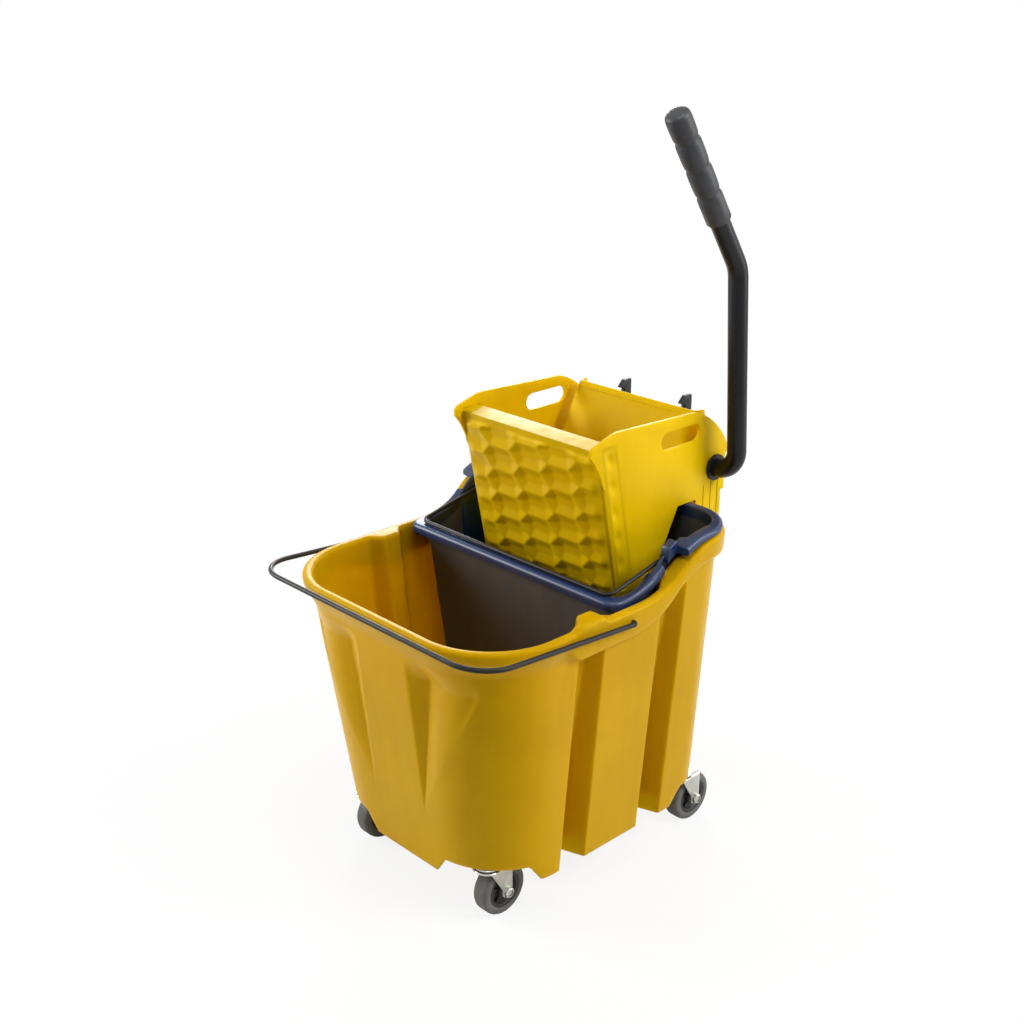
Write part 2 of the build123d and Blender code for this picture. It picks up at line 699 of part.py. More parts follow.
def side_wall_edges():
    """Side wall seen along X: ear, straight top, quarter-round rear, hook and saddle notch."""
    foot = (basket_front(BASKET_FOOT_Z), BASKET_FOOT_Z)
    ear_foot = (basket_front(BASKET_EAR_FOOT_Z), BASKET_EAR_FOOT_Z)
    ear_low = (BASKET_EAR_TIP[0], BASKET_EAR_TIP[1] - BASKET_EAR_EDGE)
    ear_middle = ((ear_foot[0] + ear_low[0]) / 2 + BASKET_EAR_SWEEP, (ear_foot[1] + ear_low[1]) / 2)
    peak = BASKET_PEAK
    hook = BASKET_HOOK_TIP
    share_y, share_z = BASKET_ROUND_SHARE
    round_middle = (peak[0] + share_y * (hook[0] - peak[0]), hook[1] + share_z * (peak[1] - hook[1]))
    rear = basket_rear_y()
    low_rear = rear - BASKET_REAR_STEP
    slot_y = rim_outer_y() + BASKET_RIM_GAP
    wall_foot = on_plate(-PLATE_KNUCKLE_RADIUS, PLATE_KNUCKLE_RADIUS + PLATE_REAR_GAP + BASKET_WALL)
    inner_rear = saddle_front_y() + BASKET_WALL
    notch_high = (hook[0] - BASKET_NOTCH_DEPTH, hook[1] - BASKET_NOTCH_DROP)
    notch_low = (rear, SHAFT_Z - BASKET_NOTCH_FOOT)
    points = [
        hook,
        notch_high,
        notch_low,
        (rear, BASKET_REAR_STEP_Z),
        (low_rear, BASKET_REAR_STEP_Z),
        (low_rear, BASKET_REAR_FOOT_Z),
        (slot_y, BASKET_REAR_FOOT_Z),
        (slot_y, saddle_z()),
        (inner_rear, saddle_z()),
        (wall_foot[0], BASKET_FOOT_Z),
        foot,
    ]
    edges = [
        Line(foot, ear_foot),
        ThreePointArc(ear_foot, ear_middle, ear_low),
        Line(ear_low, BASKET_EAR_TIP),
        Line(BASKET_EAR_TIP, BASKET_EAR_TOP),
        Line(BASKET_EAR_TOP, peak),
        ThreePointArc(peak, round_middle, hook),
    ]
    edges += [Line(a, b) for a, b in zip(points, points[1:])]
    return edges


def quilt_cells():
    """Raised hexagon facets of the front wall, in its own plane, clipped to the wall."""
    lean = math.atan(BASKET_FRONT_LEAN)
    height = (BASKET_FRONT_TOP_Z - BASKET_FOOT_Z) / math.cos(lean)
    wall = Plane(
        origin=(0, BASKET_FRONT_FOOT_Y, BASKET_FOOT_Z),
        x_dir=(1, 0, 0),
        z_dir=(0, -math.cos(lean), -math.sin(lean)),
    )
    point_half = QUILT_PITCH_X - QUILT_FLAT
    row_half = QUILT_PITCH_Z / 2
    outline = [(-point_half, 0), (-QUILT_FLAT, -row_half), (QUILT_FLAT, -row_half)]
    outline += [(-a, -b) for a, b in outline]
    inset = 1 - QUILT_GROOVE / row_half
    cells = []
    for column in range(QUILT_COLUMNS):
        x = (column - (QUILT_COLUMNS - 1) / 2) * QUILT_PITCH_X
        first = height - (1 if column % 2 else 2) * row_half
        for row in range(QUILT_ROWS):
            up = first - row * QUILT_PITCH_Z
            low = [(x + inset * a, up + inset * b) for a, b in outline]
            high = [(x + QUILT_CREST_WIDTH * a, up + QUILT_CREST_TALL * b) for a, b in outline]
            sections = [
                Polyline(*low, close=True).wire(),
                Polyline(*high, close=True).wire().moved(Location((0, 0, QUILT_PROUD))),
            ]
            cells.append(wall * Solid.make_loft(sections, ruled=True))
    field_low = BASKET_WALL
    field_high = height - 2 * BASKET_WALL
    field = Pos(0, (field_low + field_high) / 2, 0) * Box(
        2 * (BASKET_HALF_WIDTH - BASKET_WALL), field_high - field_low, 4 * QUILT_PROUD
    )
    return [cell & (wall * field) for cell in cells]


def make_basket():
    """One moulding: quilted front wall with a flat lip, two side walls, drain floor and saddle."""
    inner = BASKET_HALF_WIDTH - BASKET_WALL
    side = side_plate(side_wall_edges(), inner, BASKET_HALF_WIDTH)
    slot_y, slot_z = HAND_SLOT_CENTRE
    slot_face = Plane.YZ * (Pos(slot_y, slot_z) * SlotOverall(HAND_SLOT_LENGTH, HAND_SLOT_TALL))
    side = side - Pos(inner - CUT_PAST, 0, 0) * extrude(slot_face, amount=BASKET_WALL + 2 * CUT_PAST)
    bush_bore = BUSH_RADIUS + SEAT_FIT
    side = side - bar_x(SHAFT_Y, SHAFT_Z, bush_bore, inner - CUT_PAST, BASKET_HALF_WIDTH + CUT_PAST)
    pin_bore = PLATE_PIN_RADIUS + SEAT_FIT
    side = side - bar_x(*PLATE_HINGE, pin_bore, inner - CUT_PAST, BASKET_HALF_WIDTH + CUT_PAST)

    top = BASKET_FRONT_TOP_Z
    lip_back = basket_front(top) + BASKET_WALL + BASKET_LIP_DEPTH
    front = side_plate(
        polygon_edges([
            (basket_front(BASKET_FOOT_Z), BASKET_FOOT_Z),
            (basket_front(top), top),
            (lip_back, top + BASKET_LIP_SLOPE),
            (lip_back, top + BASKET_LIP_SLOPE - BASKET_WALL),
            (basket_front(top - BASKET_WALL) + BASKET_WALL, top - BASKET_WALL),
            (basket_front(BASKET_FOOT_Z) + BASKET_WALL, BASKET_FOOT_Z),
        ]),
        -inner,
        inner,
    )
    rear_front = PLATE_THICK / 2 + PLATE_REAR_GAP
    knuckle_back = PLATE_HINGE[0] + PLATE_KNUCKLE_RADIUS + PLATE_REAR_GAP
    rear_length = (saddle_z() - PLATE_HINGE[1]) / math.cos(math.radians(PLATE_LEAN))
    bend_along = BASKET_BEND_SHARE * rear_length
    bend = on_plate(bend_along, rear_front)
    wall_top = (saddle_front_y(), saddle_z() + BASKET_WALL)
    rear = side_plate(
        polygon_edges([
            (knuckle_back, BASKET_FOOT_Z),
            (max(knuckle_back, bend[0]), bend[1]),
            wall_top,
            (basket_rear_y() - BASKET_REAR_STEP, wall_top[1]),
            (basket_rear_y() - BASKET_REAR_STEP, BASKET_REAR_FOOT_Z),
            (basket_rear_y() - BASKET_REAR_STEP - BASKET_WALL, BASKET_REAR_FOOT_Z),
            (basket_rear_y() - BASKET_REAR_STEP - BASKET_WALL, saddle_z()),
            (wall_top[0] + BASKET_WALL / 2, saddle_z()),
            (max(knuckle_back, bend[0]) + BASKET_WALL, bend[1] - BASKET_WALL / 2),
            (knuckle_back + BASKET_WALL, BASKET_FOOT_Z),
        ]),
        -inner,
        inner,
    )
    floor_front = basket_front(BASKET_FOOT_Z)
    floor_length = knuckle_back + BASKET_WALL - floor_front
    floor = Pos(0, floor_front + floor_length / 2, BASKET_FOOT_Z - BASKET_WALL / 2) * Box(
        2 * BASKET_HALF_WIDTH, floor_length, BASKET_WALL
    )
    drain_y = floor_front + floor_length / 2
    for row in (-1, 1):
        for place in range(DRAIN_COUNT):
            x = (place - (DRAIN_COUNT - 1) / 2) * DRAIN_PITCH
            hole = Cylinder(DRAIN_RADIUS, 3 * BASKET_WALL)
            floor = floor - Pos(x, drain_y + row * DRAIN_PITCH / 2, BASKET_FOOT_Z) * hole
    basket = side + mirrored(side) + front + rear + floor
    for cell in quilt_cells():
        basket = basket + cell
    return basket


def make_bush(sign):
    """Flanged bush in a side wall, with its flange outside."""
    inner = BASKET_HALF_WIDTH - BASKET_WALL
    outer = BASKET_HALF_WIDTH
    sleeve = bar_x(SHAFT_Y, SHAFT_Z, BUSH_RADIUS, inner, outer)
    flange = bar_x(SHAFT_Y, SHAFT_Z, BUSH_FLANGE_RADIUS, outer, outer + BUSH_FLANGE_THICK)
    bush = sleeve + flange
    bush = bush - bar_x(SHAFT_Y, SHAFT_Z, LEVER_TUBE_RADIUS + RUNNING_FIT, inner - CUT_PAST, FULL)
    return bush if sign > 0 else mirrored(bush)


def make_hinge_pin():
    """Pin through both side walls and the press plate's knuckle, with a head at each end."""
    outer = BASKET_HALF_WIDTH
    pin = bar_x(*PLATE_HINGE, PLATE_PIN_RADIUS, -outer, outer)
    head = bar_x(*PLATE_HINGE, PIN_HEAD_RADIUS, outer, outer + PIN_HEAD_THICK)
    return pin + head + mirrored(head)


def make_press_plate():
    """Ribbed channel that swings on its foot: rounded ends, two push ribs and a knuckle."""
    knuckle_half = BASKET_HALF_WIDTH - BASKET_WALL - PLATE_SIDE_GAP
    half = knuckle_half - PLATE_INSET
    front = -PLATE_THICK / 2
    depth = PLATE_FLANGE_DEPTH - front
    channel = RectangleRounded(2 * half, 2 * depth, PLATE_CORNER_RADIUS)
    hollow_size = (2 * (half - PLATE_THICK), 2 * (depth - PLATE_THICK))
    channel = channel - RectangleRounded(*hollow_size, PLATE_CORNER_RADIUS - PLATE_THICK)
    channel = channel - Pos(0, depth) * Rectangle(4 * half, 2 * depth)
    rib_depth = PLATE_RIB_DEPTH - front
    rib_middle = rib_depth / 2 - depth
    ribs = [Pos(sign * ARM_X, rib_middle) * Rectangle(PLATE_RIB_THICK, rib_depth) for sign in (-1, 1)]
    section = channel + ribs[0] + ribs[1]
    lean = math.radians(PLATE_LEAN)
    place = Plane(
        origin=(0, *on_plate(0, PLATE_FLANGE_DEPTH)),
        x_dir=(1, 0, 0),
        z_dir=(0, math.sin(lean), math.cos(lean)),
    )
    plate = extrude(place * section, amount=PLATE_LENGTH + PLATE_FLANGE_OVER)
    behind = PLATE_THICK / 2
    straight = half - PLATE_CORNER_RADIUS
    plate = plate - side_plate(
        polygon_edges([
            on_plate(PLATE_LENGTH, -PLATE_LENGTH),
            on_plate(PLATE_LENGTH, PLATE_LENGTH),
            on_plate(2 * PLATE_LENGTH, PLATE_LENGTH),
            on_plate(2 * PLATE_LENGTH, -PLATE_LENGTH),
        ]),
        -straight,
        straight,
    )
    trim = side_plate(
        polygon_edges([
            on_plate(-PLATE_LENGTH, behind),
            on_plate(PLATE_FLANGE_START, behind),
            on_plate(PLATE_FLANGE_FULL, PLATE_RIB_DEPTH + CUT_PAST),
            on_plate(PLATE_FLANGE_FULL, 3 * PLATE_RIB_DEPTH),
            on_plate(-PLATE_LENGTH, 3 * PLATE_RIB_DEPTH),
        ]),
        -FULL,
        FULL,
    )
    plate = plate - trim
    top_z = on_plate(PLATE_LENGTH, front)[1]
    plate = plate - Pos(0, 0, top_z) * Box(2 * FULL, 2 * FULL, FULL, align=UP)
    plate = plate + bar_x(*PLATE_HINGE, PLATE_KNUCKLE_RADIUS, -knuckle_half, knuckle_half)
    bore_half = knuckle_half + CUT_PAST
    return plate - bar_x(*PLATE_HINGE, PLATE_PIN_RADIUS + RUNNING_FIT, -bore_half, bore_half)


def lever_path():
    """Middle line of the lever tube, from the far end of the cross-shaft to under the grip's end."""
    shaft_far = -(BASKET_HALF_WIDTH + BUSH_FLANGE_THICK + LEVER_SHAFT_PAST)
    run_y = LEVER_TOP[0] - LEVER_BEND[0]
    run_z = LEVER_TOP[1] - LEVER_BEND[1]
    share = 1 - GRIP_END / math.hypot(run_y, run_z)
    tube_end = (LEVER_X, LEVER_BEND[0] + share * run_y, LEVER_BEND[1] + share * run_z)
    return FilletPolyline(
        (shaft_far, SHAFT_Y, SHAFT_Z),
        (LEVER_X, SHAFT_Y, SHAFT_Z),
        (LEVER_X, *LEVER_BEND),
        tube_end,
        radius=[LEVER_ELBOW_RADIUS, LEVER_BEND_RADIUS],
    )


def make_lever_tube():
    path = lever_path()
    start = Plane(origin=path @ 0, z_dir=path % 0)
    outer = sweep(start * Circle(LEVER_TUBE_RADIUS), path=path)
    inner = sweep(start * Circle(LEVER_TUBE_RADIUS - LEVER_TUBE_WALL), path=path)
    tube = outer - inner
    for sign in (-1, 1):
        tube = tube - arm_pin(sign, ARM_PIN_RADIUS + SEAT_FIT)
    return tube


def grip_plane():
    """Plane at the grip's rounded end, facing back down the lever."""
    back = (0, LEVER_BEND[0] - LEVER_TOP[0], LEVER_BEND[1] - LEVER_TOP[1])
    return Plane(origin=(LEVER_X, *LEVER_TOP), x_dir=(1, 0, 0), z_dir=back)


def make_grip():
    """Grip turned about the lever: rounded end and shallow grooves between its swells."""
    step = GRIP_LENGTH / (GRIP_GROOVES + 1)
    half = GRIP_GROOVE_WIDTH / 2
    waist = GRIP_RADIUS - GRIP_GROOVE_DEPTH
    edges = [
        Line((0, 0), (GRIP_RADIUS - GRIP_END, 0)),
        ThreePointArc(
            (GRIP_RADIUS - GRIP_END, 0),
            (GRIP_RADIUS - GRIP_END * (1 - math.sqrt(0.5)), GRIP_END * (1 - math.sqrt(0.5))),
            (GRIP_RADIUS, GRIP_END),
        ),
    ]
    last = (GRIP_RADIUS, GRIP_END)
    for groove in range(GRIP_GROOVES):
        middle = (groove + 1) * step
        edges.append(Line(last, (GRIP_RADIUS, middle - half)))
        last = (GRIP_RADIUS, middle + half)
        edges.append(ThreePointArc((GRIP_RADIUS, middle - half), (waist, middle), last))
    edges += [
        Line(last, (GRIP_RADIUS, GRIP_LENGTH)),
        Line((GRIP_RADIUS, GRIP_LENGTH), (0, GRIP_LENGTH)),
        Line((0, GRIP_LENGTH), (0, 0)),
    ]
    profile = Plane.XZ * make_face(edges)
    body = revolve(profile, axis=Axis.Z)
    tube_depth = GRIP_LENGTH - GRIP_END + CUT_PAST
    bore = Cylinder(LEVER_TUBE_RADIUS + SEAT_FIT, tube_depth, align=UP)
    body = body - Pos(0, 0, GRIP_END) * bore
    return grip_plane() * body


def arm_pin(sign, radius):
    """Pin that keys an arm to the cross-shaft, along Y."""
    return Pos(sign * ARM_X, SHAFT_Y, SHAFT_Z) * Rot(90, 0, 0) * Cylinder(radius, 2 * ARM_HUB_RADIUS)


def make_arm(sign):
    """Push arm on the cross-shaft: round hub, tapered finger and a hooked tip."""
    tip = (SHAFT_Y + ARM_TIP[0], SHAFT_Z + ARM_TIP[1])
    length = math.hypot(*ARM_TIP)
    along = (ARM_TIP[0] / length, ARM_TIP[1] / length)
    across = (along[1], -along[0])
    tangent_share = (ARM_HUB_RADIUS - ARM_TIP_RADIUS) / length

    def tangent(centre, radius, side):
        spread = math.sqrt(1 - tangent_share ** 2)
        return (
            centre[0] + radius * (side * across[0] * spread + along[0] * tangent_share),
            centre[1] + radius * (side * across[1] * spread + along[1] * tangent_share),
        )

    hub = (SHAFT_Y, SHAFT_Z)
    finger = polygon_edges([
        tangent(hub, ARM_HUB_RADIUS, -1),
        tangent(tip, ARM_TIP_RADIUS, -1),
        tangent(tip, ARM_TIP_RADIUS, 1),
        tangent(hub, ARM_HUB_RADIUS, 1),
    ])
    low = sign * ARM_X - ARM_THICK / 2
    high = sign * ARM_X + ARM_THICK / 2
    arm = side_plate(finger, low, high)
    arm = arm + bar_x(*hub, ARM_HUB_RADIUS, low, high) + bar_x(*tip, ARM_TIP_RADIUS, low, high)
    beak = polygon_edges([
        (tip[0] - along[1] * ARM_BEAK - ARM_TIP_RADIUS, tip[1]),
        (tip[0], tip[1] + ARM_BEAK),
        (tip[0] + ARM_TIP_RADIUS, tip[1] + ARM_BEAK),
        (tip[0] + ARM_TIP_RADIUS, tip[1] - 2 * ARM_BEAK),
    ])
    arm = arm + side_plate(beak, low, high)
    arm = arm - bar_x(*hub, LEVER_TUBE_RADIUS + SEAT_FIT, low - CUT_PAST, high + CUT_PAST)
    return arm - arm_pin(sign, ARM_PIN_RADIUS + SEAT_FIT)


def make_shaft_cap():
    """Plug in the open far end of the cross-shaft."""
    far = BASKET_HALF_WIDTH + BUSH_FLANGE_THICK + LEVER_SHAFT_PAST
    spigot = LEVER_TUBE_RADIUS - LEVER_TUBE_WALL - SEAT_FIT
    head = bar_x(SHAFT_Y, SHAFT_Z, BUSH_RADIUS, -far - SHAFT_CAP_THICK, -far)
    return head + bar_x(SHAFT_Y, SHAFT_Z, spigot, -far, -far + 4 * SHAFT_CAP_THICK)


def crown_top_z():
    """Top of a fork's crown, just over the wheel."""
    return 2 * WHEEL_RADIUS + FORK_CROWN_GAP + FORK_PLATE


def make_stem(x, y):
    """Stem pressed into the tub, with the two rings of the swivel race and the kingpin below."""
    seat = socket_foot_z()
    run = crown_top_z()
    stem = Pos(0, 0, seat) * Cylinder(STEM_RADIUS, STEM_LENGTH, align=UP)
    upper = Pos(0, 0, seat) * Cylinder(RACE_RADIUS, RACE_RING_THICK, align=DOWN)
    neck = Pos(0, 0, seat) * Cylinder(RACE_NECK_RADIUS, seat - run - RUNNING_FIT, align=DOWN)
    pin_low = run - FORK_PLATE - RUNNING_FIT
    kingpin = Pos(0, 0, seat) * Cylinder(KINGPIN_RADIUS, seat - pin_low, align=DOWN)
    head = Pos(0, 0, pin_low) * Cylinder(KINGPIN_HEAD_RADIUS, KINGPIN_HEAD_THICK, align=DOWN)
    return Pos(x, y, 0) * (stem + upper + neck + kingpin + head)


def make_fork(x, y):
    """Pressed fork: round crown and two tapering legs that trail back to the axle."""
    top = crown_top_z()
    inner = WHEEL_WIDTH / 2 + HUB_BOSS_PROUD + FORK_SIDE_GAP
    outer = inner + FORK_PLATE
    crown = Pos(0, 0, top) * Cylinder(FORK_CROWN_RADIUS, FORK_PLATE, align=DOWN)
    rear = CASTER_TRAIL + FORK_FOOT_RADIUS
    front = -FORK_CROWN_RADIUS / 2
    bridge = Pos(0, (front + rear) / 2, top) * Box(2 * outer, rear - front, FORK_PLATE, align=DOWN)
    axle = (CASTER_TRAIL, WHEEL_RADIUS)
    reach_y = front - axle[0]
    reach_z = top - axle[1]
    length = math.hypot(reach_y, reach_z)
    swing = math.atan2(reach_z, reach_y) + math.acos(FORK_FOOT_RADIUS / length)
    touch = (axle[0] + FORK_FOOT_RADIUS * math.cos(swing), axle[1] + FORK_FOOT_RADIUS * math.sin(swing))
    bottom = (axle[0], axle[1] - FORK_FOOT_RADIUS)
    side_end = (axle[0] + FORK_FOOT_RADIUS, axle[1])
    edges = [
        Line((front, top), touch),
        ThreePointArc(touch, bottom, side_end),
        Line(side_end, (rear, top)),
        Line((rear, top), (front, top)),
    ]
    leg = side_plate(edges, inner, outer)
    fork = crown + bridge + leg + mirrored(leg)
    fork = fork - Pos(0, 0, top) * Cylinder(KINGPIN_RADIUS + RUNNING_FIT, 4 * FORK_PLATE)
    fork = fork - bar_x(*axle, AXLE_RADIUS + SEAT_FIT, -outer - CUT_PAST, outer + CUT_PAST)
    return Pos(x, y, 0) * fork


def hexagon_bar(y, z, across_flats, x_low, x_high):
    """Hexagonal head or nut blank along X."""
    face = Plane.YZ * (Pos(y, z) * RegularPolygon(across_flats / math.sqrt(3), 6))
    return Pos(x_low, 0, 0) * extrude(face, amount=x_high - x_low)


def make_axle_bolt(x, y, side):
    """Bolt through the fork and the hub, with its head towards the middle of the bucket."""
    outer = WHEEL_WIDTH / 2 + HUB_BOSS_PROUD + FORK_SIDE_GAP + FORK_PLATE
    end = outer + AXLE_NUT_THICK
    shank = bar_x(CASTER_TRAIL, WHEEL_RADIUS, AXLE_RADIUS, -outer, end)
    head = hexagon_bar(CASTER_TRAIL, WHEEL_RADIUS, AXLE_HEX, -outer - AXLE_HEAD_THICK, -outer)
    bolt = shank + head
    return Pos(x, y, 0) * (bolt if side > 0 else mirrored(bolt))


def make_axle_nut(x, y, side):
    outer = WHEEL_WIDTH / 2 + HUB_BOSS_PROUD + FORK_SIDE_GAP + FORK_PLATE
    nut = hexagon_bar(CASTER_TRAIL, WHEEL_RADIUS, AXLE_HEX, outer, outer + AXLE_NUT_THICK)
    past = outer + AXLE_NUT_THICK + CUT_PAST
    nut = nut - bar_x(CASTER_TRAIL, WHEEL_RADIUS, AXLE_RADIUS + SEAT_FIT, outer - CUT_PAST, past)
    return Pos(x, y, 0) * (nut if side > 0 else mirrored(nut))


def turned(points, x, y):
    """Solid of revolution about a wheel's axle, from radius and width points."""
    profile = make_face(Polyline(*points, close=True))
    body = revolve(profile, axis=Axis.Y)
    return Pos(x, y + CASTER_TRAIL, WHEEL_RADIUS) * Rot(0, 0, 90) * body


def make_hub(x, y):
    """Wheel core: boss, recessed web and rim."""
    half = WHEEL_WIDTH / 2
    boss = half + HUB_BOSS_PROUD
    web = half - HUB_WEB_RECESS
    bore = AXLE_RADIUS + RUNNING_FIT
    rim = HUB_RADIUS - TYRE_SHOULDER
    edge = half - HUB_RIM_SETBACK
    right = [
        (bore, boss),
        (HUB_BOSS_RADIUS, boss),
        (HUB_BOSS_RADIUS + HUB_WEB_DRAFT, web),
        (rim - HUB_WEB_DRAFT, web),
        (rim, edge),
        (HUB_RADIUS, edge),
    ]
    left = [(r, -w) for r, w in reversed(right)]
    return turned(right + left, x, y)


def make_tyre(x, y):
    """Grey tread with bevelled shoulders."""
    half = WHEEL_WIDTH / 2
    inner = HUB_RADIUS + SEAT_FIT
    shoulder = TYRE_SHOULDER
    right = [
        (inner, half - HUB_RIM_SETBACK),
        (inner + TYRE_BEAD, half),
        (WHEEL_RADIUS - shoulder, half),
        (WHEEL_RADIUS - shoulder / 3, half - shoulder / 3),
        (WHEEL_RADIUS, half - shoulder),
    ]
    left = [(r, -w) for r, w in reversed(right)]
    return turned(right + left, x, y)


def build():
    nodes = {
        "tub": make_tub(),
        "bucket_bail": make_bucket_bail(),
        "pail": make_pail(),
        "pail_bail": make_pail_bail(),
        "wringer_basket": make_basket(),
        "shaft_bush_right": make_bush(1),
        "shaft_bush_left": make_bush(-1),
        "plate_hinge_pin": make_hinge_pin(),
        "press_plate": make_press_plate(),
        "lever_tube": make_lever_tube(),
        "lever_grip": make_grip(),
        "push_arm_right": make_arm(1),
        "push_arm_left": make_arm(-1),
        "arm_pins": Compound([arm_pin(1, ARM_PIN_RADIUS), arm_pin(-1, ARM_PIN_RADIUS)]),
        "shaft_end_cap": make_shaft_cap(),
    }
    for name, (x, y) in caster_places().items():
        side = 1 if x > 0 else -1
        nodes[f"caster_stem_{name}"] = make_stem(x, y)
        nodes[f"caster_fork_{name}"] = make_fork(x, y)
        nodes[f"axle_bolt_{name}"] = make_axle_bolt(x, y, side)
        nodes[f"axle_nut_{name}"] = make_axle_nut(x, y, side)
        nodes[f"wheel_hub_{name}"] = make_hub(x, y)
        nodes[f"wheel_tyre_{name}"] = make_tyre(x, y)
    return nodes


os.makedirs("parts", exist_ok=True)
for node_name, solid in build().items():
    export_step(solid, f"parts/{node_name}.step")
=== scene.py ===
# %% [markdown]
# # Mop bucket with a side-press wringer
# The real object is three plastic mouldings on wheels: a yellow tub, a charcoal pail that lifts out
# of its rear half, and a yellow wringer that hangs over both rear rims and is worked by a long lever.
# The CAD model gives every size and every joint. Blender adds what CAD leaves plain: rounded lips,
# soft flutes, a quilt of dimples, and the finishes. Each moulding is made here as a grid of points
# whose rows and columns follow its own edges, because a moulding is one continuous skin.

# %% Load the packed model
import cmath
import math
import bmesh
import bpy
import numpy as np
from mathutils import Matrix, Vector


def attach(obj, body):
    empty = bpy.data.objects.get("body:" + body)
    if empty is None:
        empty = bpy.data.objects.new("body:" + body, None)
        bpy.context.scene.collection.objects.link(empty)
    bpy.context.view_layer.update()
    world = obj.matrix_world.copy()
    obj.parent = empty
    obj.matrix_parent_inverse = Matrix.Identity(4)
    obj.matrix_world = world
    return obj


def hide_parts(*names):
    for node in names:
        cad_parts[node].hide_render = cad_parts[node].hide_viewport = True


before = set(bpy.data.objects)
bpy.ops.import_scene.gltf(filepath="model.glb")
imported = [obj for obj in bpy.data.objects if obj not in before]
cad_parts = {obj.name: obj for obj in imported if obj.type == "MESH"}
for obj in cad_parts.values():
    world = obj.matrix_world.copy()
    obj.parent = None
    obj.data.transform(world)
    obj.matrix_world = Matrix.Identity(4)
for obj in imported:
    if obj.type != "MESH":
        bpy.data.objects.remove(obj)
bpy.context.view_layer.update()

# %% [markdown]
# ## Helpers for building meshes
# A moulding is a grid of rings, a turned part is a profile spun about an axle, wire and tube are a
# circle carried along a path, and flat stock is an outline given a thickness and small bevels.
# A `Shape` collects points and faces in millimetres, so one piece can hold several of these.

# %% A shape that collects points and faces
BEVEL_SEGMENTS = 3
BEVEL_CORNER = math.radians(60)


def unit_circle(across, other, sides):
    """Points round a circle of radius 1 in the plane of two directions."""
    turns = np.linspace(0, 2 * math.pi, sides, endpoint=False)
    return np.outer(np.cos(turns), across) + np.outer(np.sin(turns), other)


class Shape:
    def __init__(self):
        self.points = []
        self.faces = []
        self.paint = []

    def add(self, points, faces, paint=0):
        """Takes in points and faces; paint is one material number, or one for each face."""
        start = len(self.points)
        self.points += [tuple(point) for point in points]
        self.faces += [[start + corner for corner in face] for face in faces]
        self.paint += np.broadcast_to(paint, len(faces)).tolist()

    def grid(self, rings, closed=True, capped=False, paint=0):
        """Quads between rings of points; paint may give one material number for each quad."""
        rows, columns = rings.shape[:2]
        span = columns if closed else columns - 1
        paint = np.broadcast_to(paint, (rows - 1, span))
        paints = paint.ravel().tolist()
        faces = []
        for low in range(0, (rows - 1) * columns, columns):
            high = low + columns
            for column in range(span):
                following = (column + 1) % columns
                faces.append((low + column, low + following, high + following, high + column))
        if capped:
            faces += [range(columns), range((rows - 1) * columns, rows * columns)]
            paints += [int(paint[0, 0]), int(paint[-1, 0])]
        self.add(rings.reshape(-1, 3), faces, paints)

    def lathe(self, profile, origin, axis, sides=48):
        """Spins radius and height pairs about an axis through origin."""
        axis = Vector(axis).normalized()
        across = axis.orthogonal().normalized()
        circle = unit_circle(across, axis.cross(across), sides)
        rings = [np.array(origin) + height * np.array(axis) + radius * circle for radius, height in profile]
        self.grid(np.array(rings))

    def tube(self, path, radius, sides):
        """Carries a circle along a path, with flat ends."""
        path = np.array(path, float)
        tangents = np.gradient(path, axis=0)
        tangents /= np.linalg.norm(tangents, axis=1)[:, None]
        across = np.array(Vector(tangents[0]).orthogonal().normalized())
        rings = []
        for point, tangent in zip(path, tangents):
            across = across - tangent * across.dot(tangent)
            across /= np.linalg.norm(across)
            rings.append(point + radius * unit_circle(across, np.cross(tangent, across), sides))
        self.grid(np.array(rings), capped=True)

    def plate(self, loops, x_low, x_high, bevel=1.0, paint=0, order=(0, 1, 2)):
        """Flat stock along X from outlines in Y and Z, the edge first and then any holes."""
        work = bmesh.new()
        edges = []
        for loop in loops:
            corners = [work.verts.new((x_low, y, z)) for y, z in loop]
            edges += [work.edges.new(pair) for pair in zip(corners, corners[1:] + corners[:1])]
        bmesh.ops.triangle_fill(work, edges=edges, use_beauty=True)
        made = bmesh.ops.extrude_face_region(work, geom=work.faces[:])
        raised = [item for item in made["geom"] if isinstance(item, bmesh.types.BMVert)]
        bmesh.ops.translate(work, verts=raised, vec=(x_high - x_low, 0, 0))
        bmesh.ops.recalc_face_normals(work, faces=work.faces[:])
        if bevel:
            solid = [edge for edge in work.edges if edge.is_manifold]
            sharp = [edge for edge in solid if edge.calc_face_angle() > BEVEL_CORNER]
            bmesh.ops.bevel(work, geom=sharp, offset=bevel, segments=BEVEL_SEGMENTS, profile=0.5,
                            affect="EDGES", clamp_overlap=True)
        work.verts.index_update()
        points = [[vert.co[axis] for axis in order] for vert in work.verts]
        self.add(points, [[vert.index for vert in face.verts] for face in work.faces], paint)
        work.free()


print("a shape can", [name for name in vars(Shape) if not name.startswith("_")])

# %% A piece of the scene from a shape
MM = 0.001
WELD = 0.02 * MM


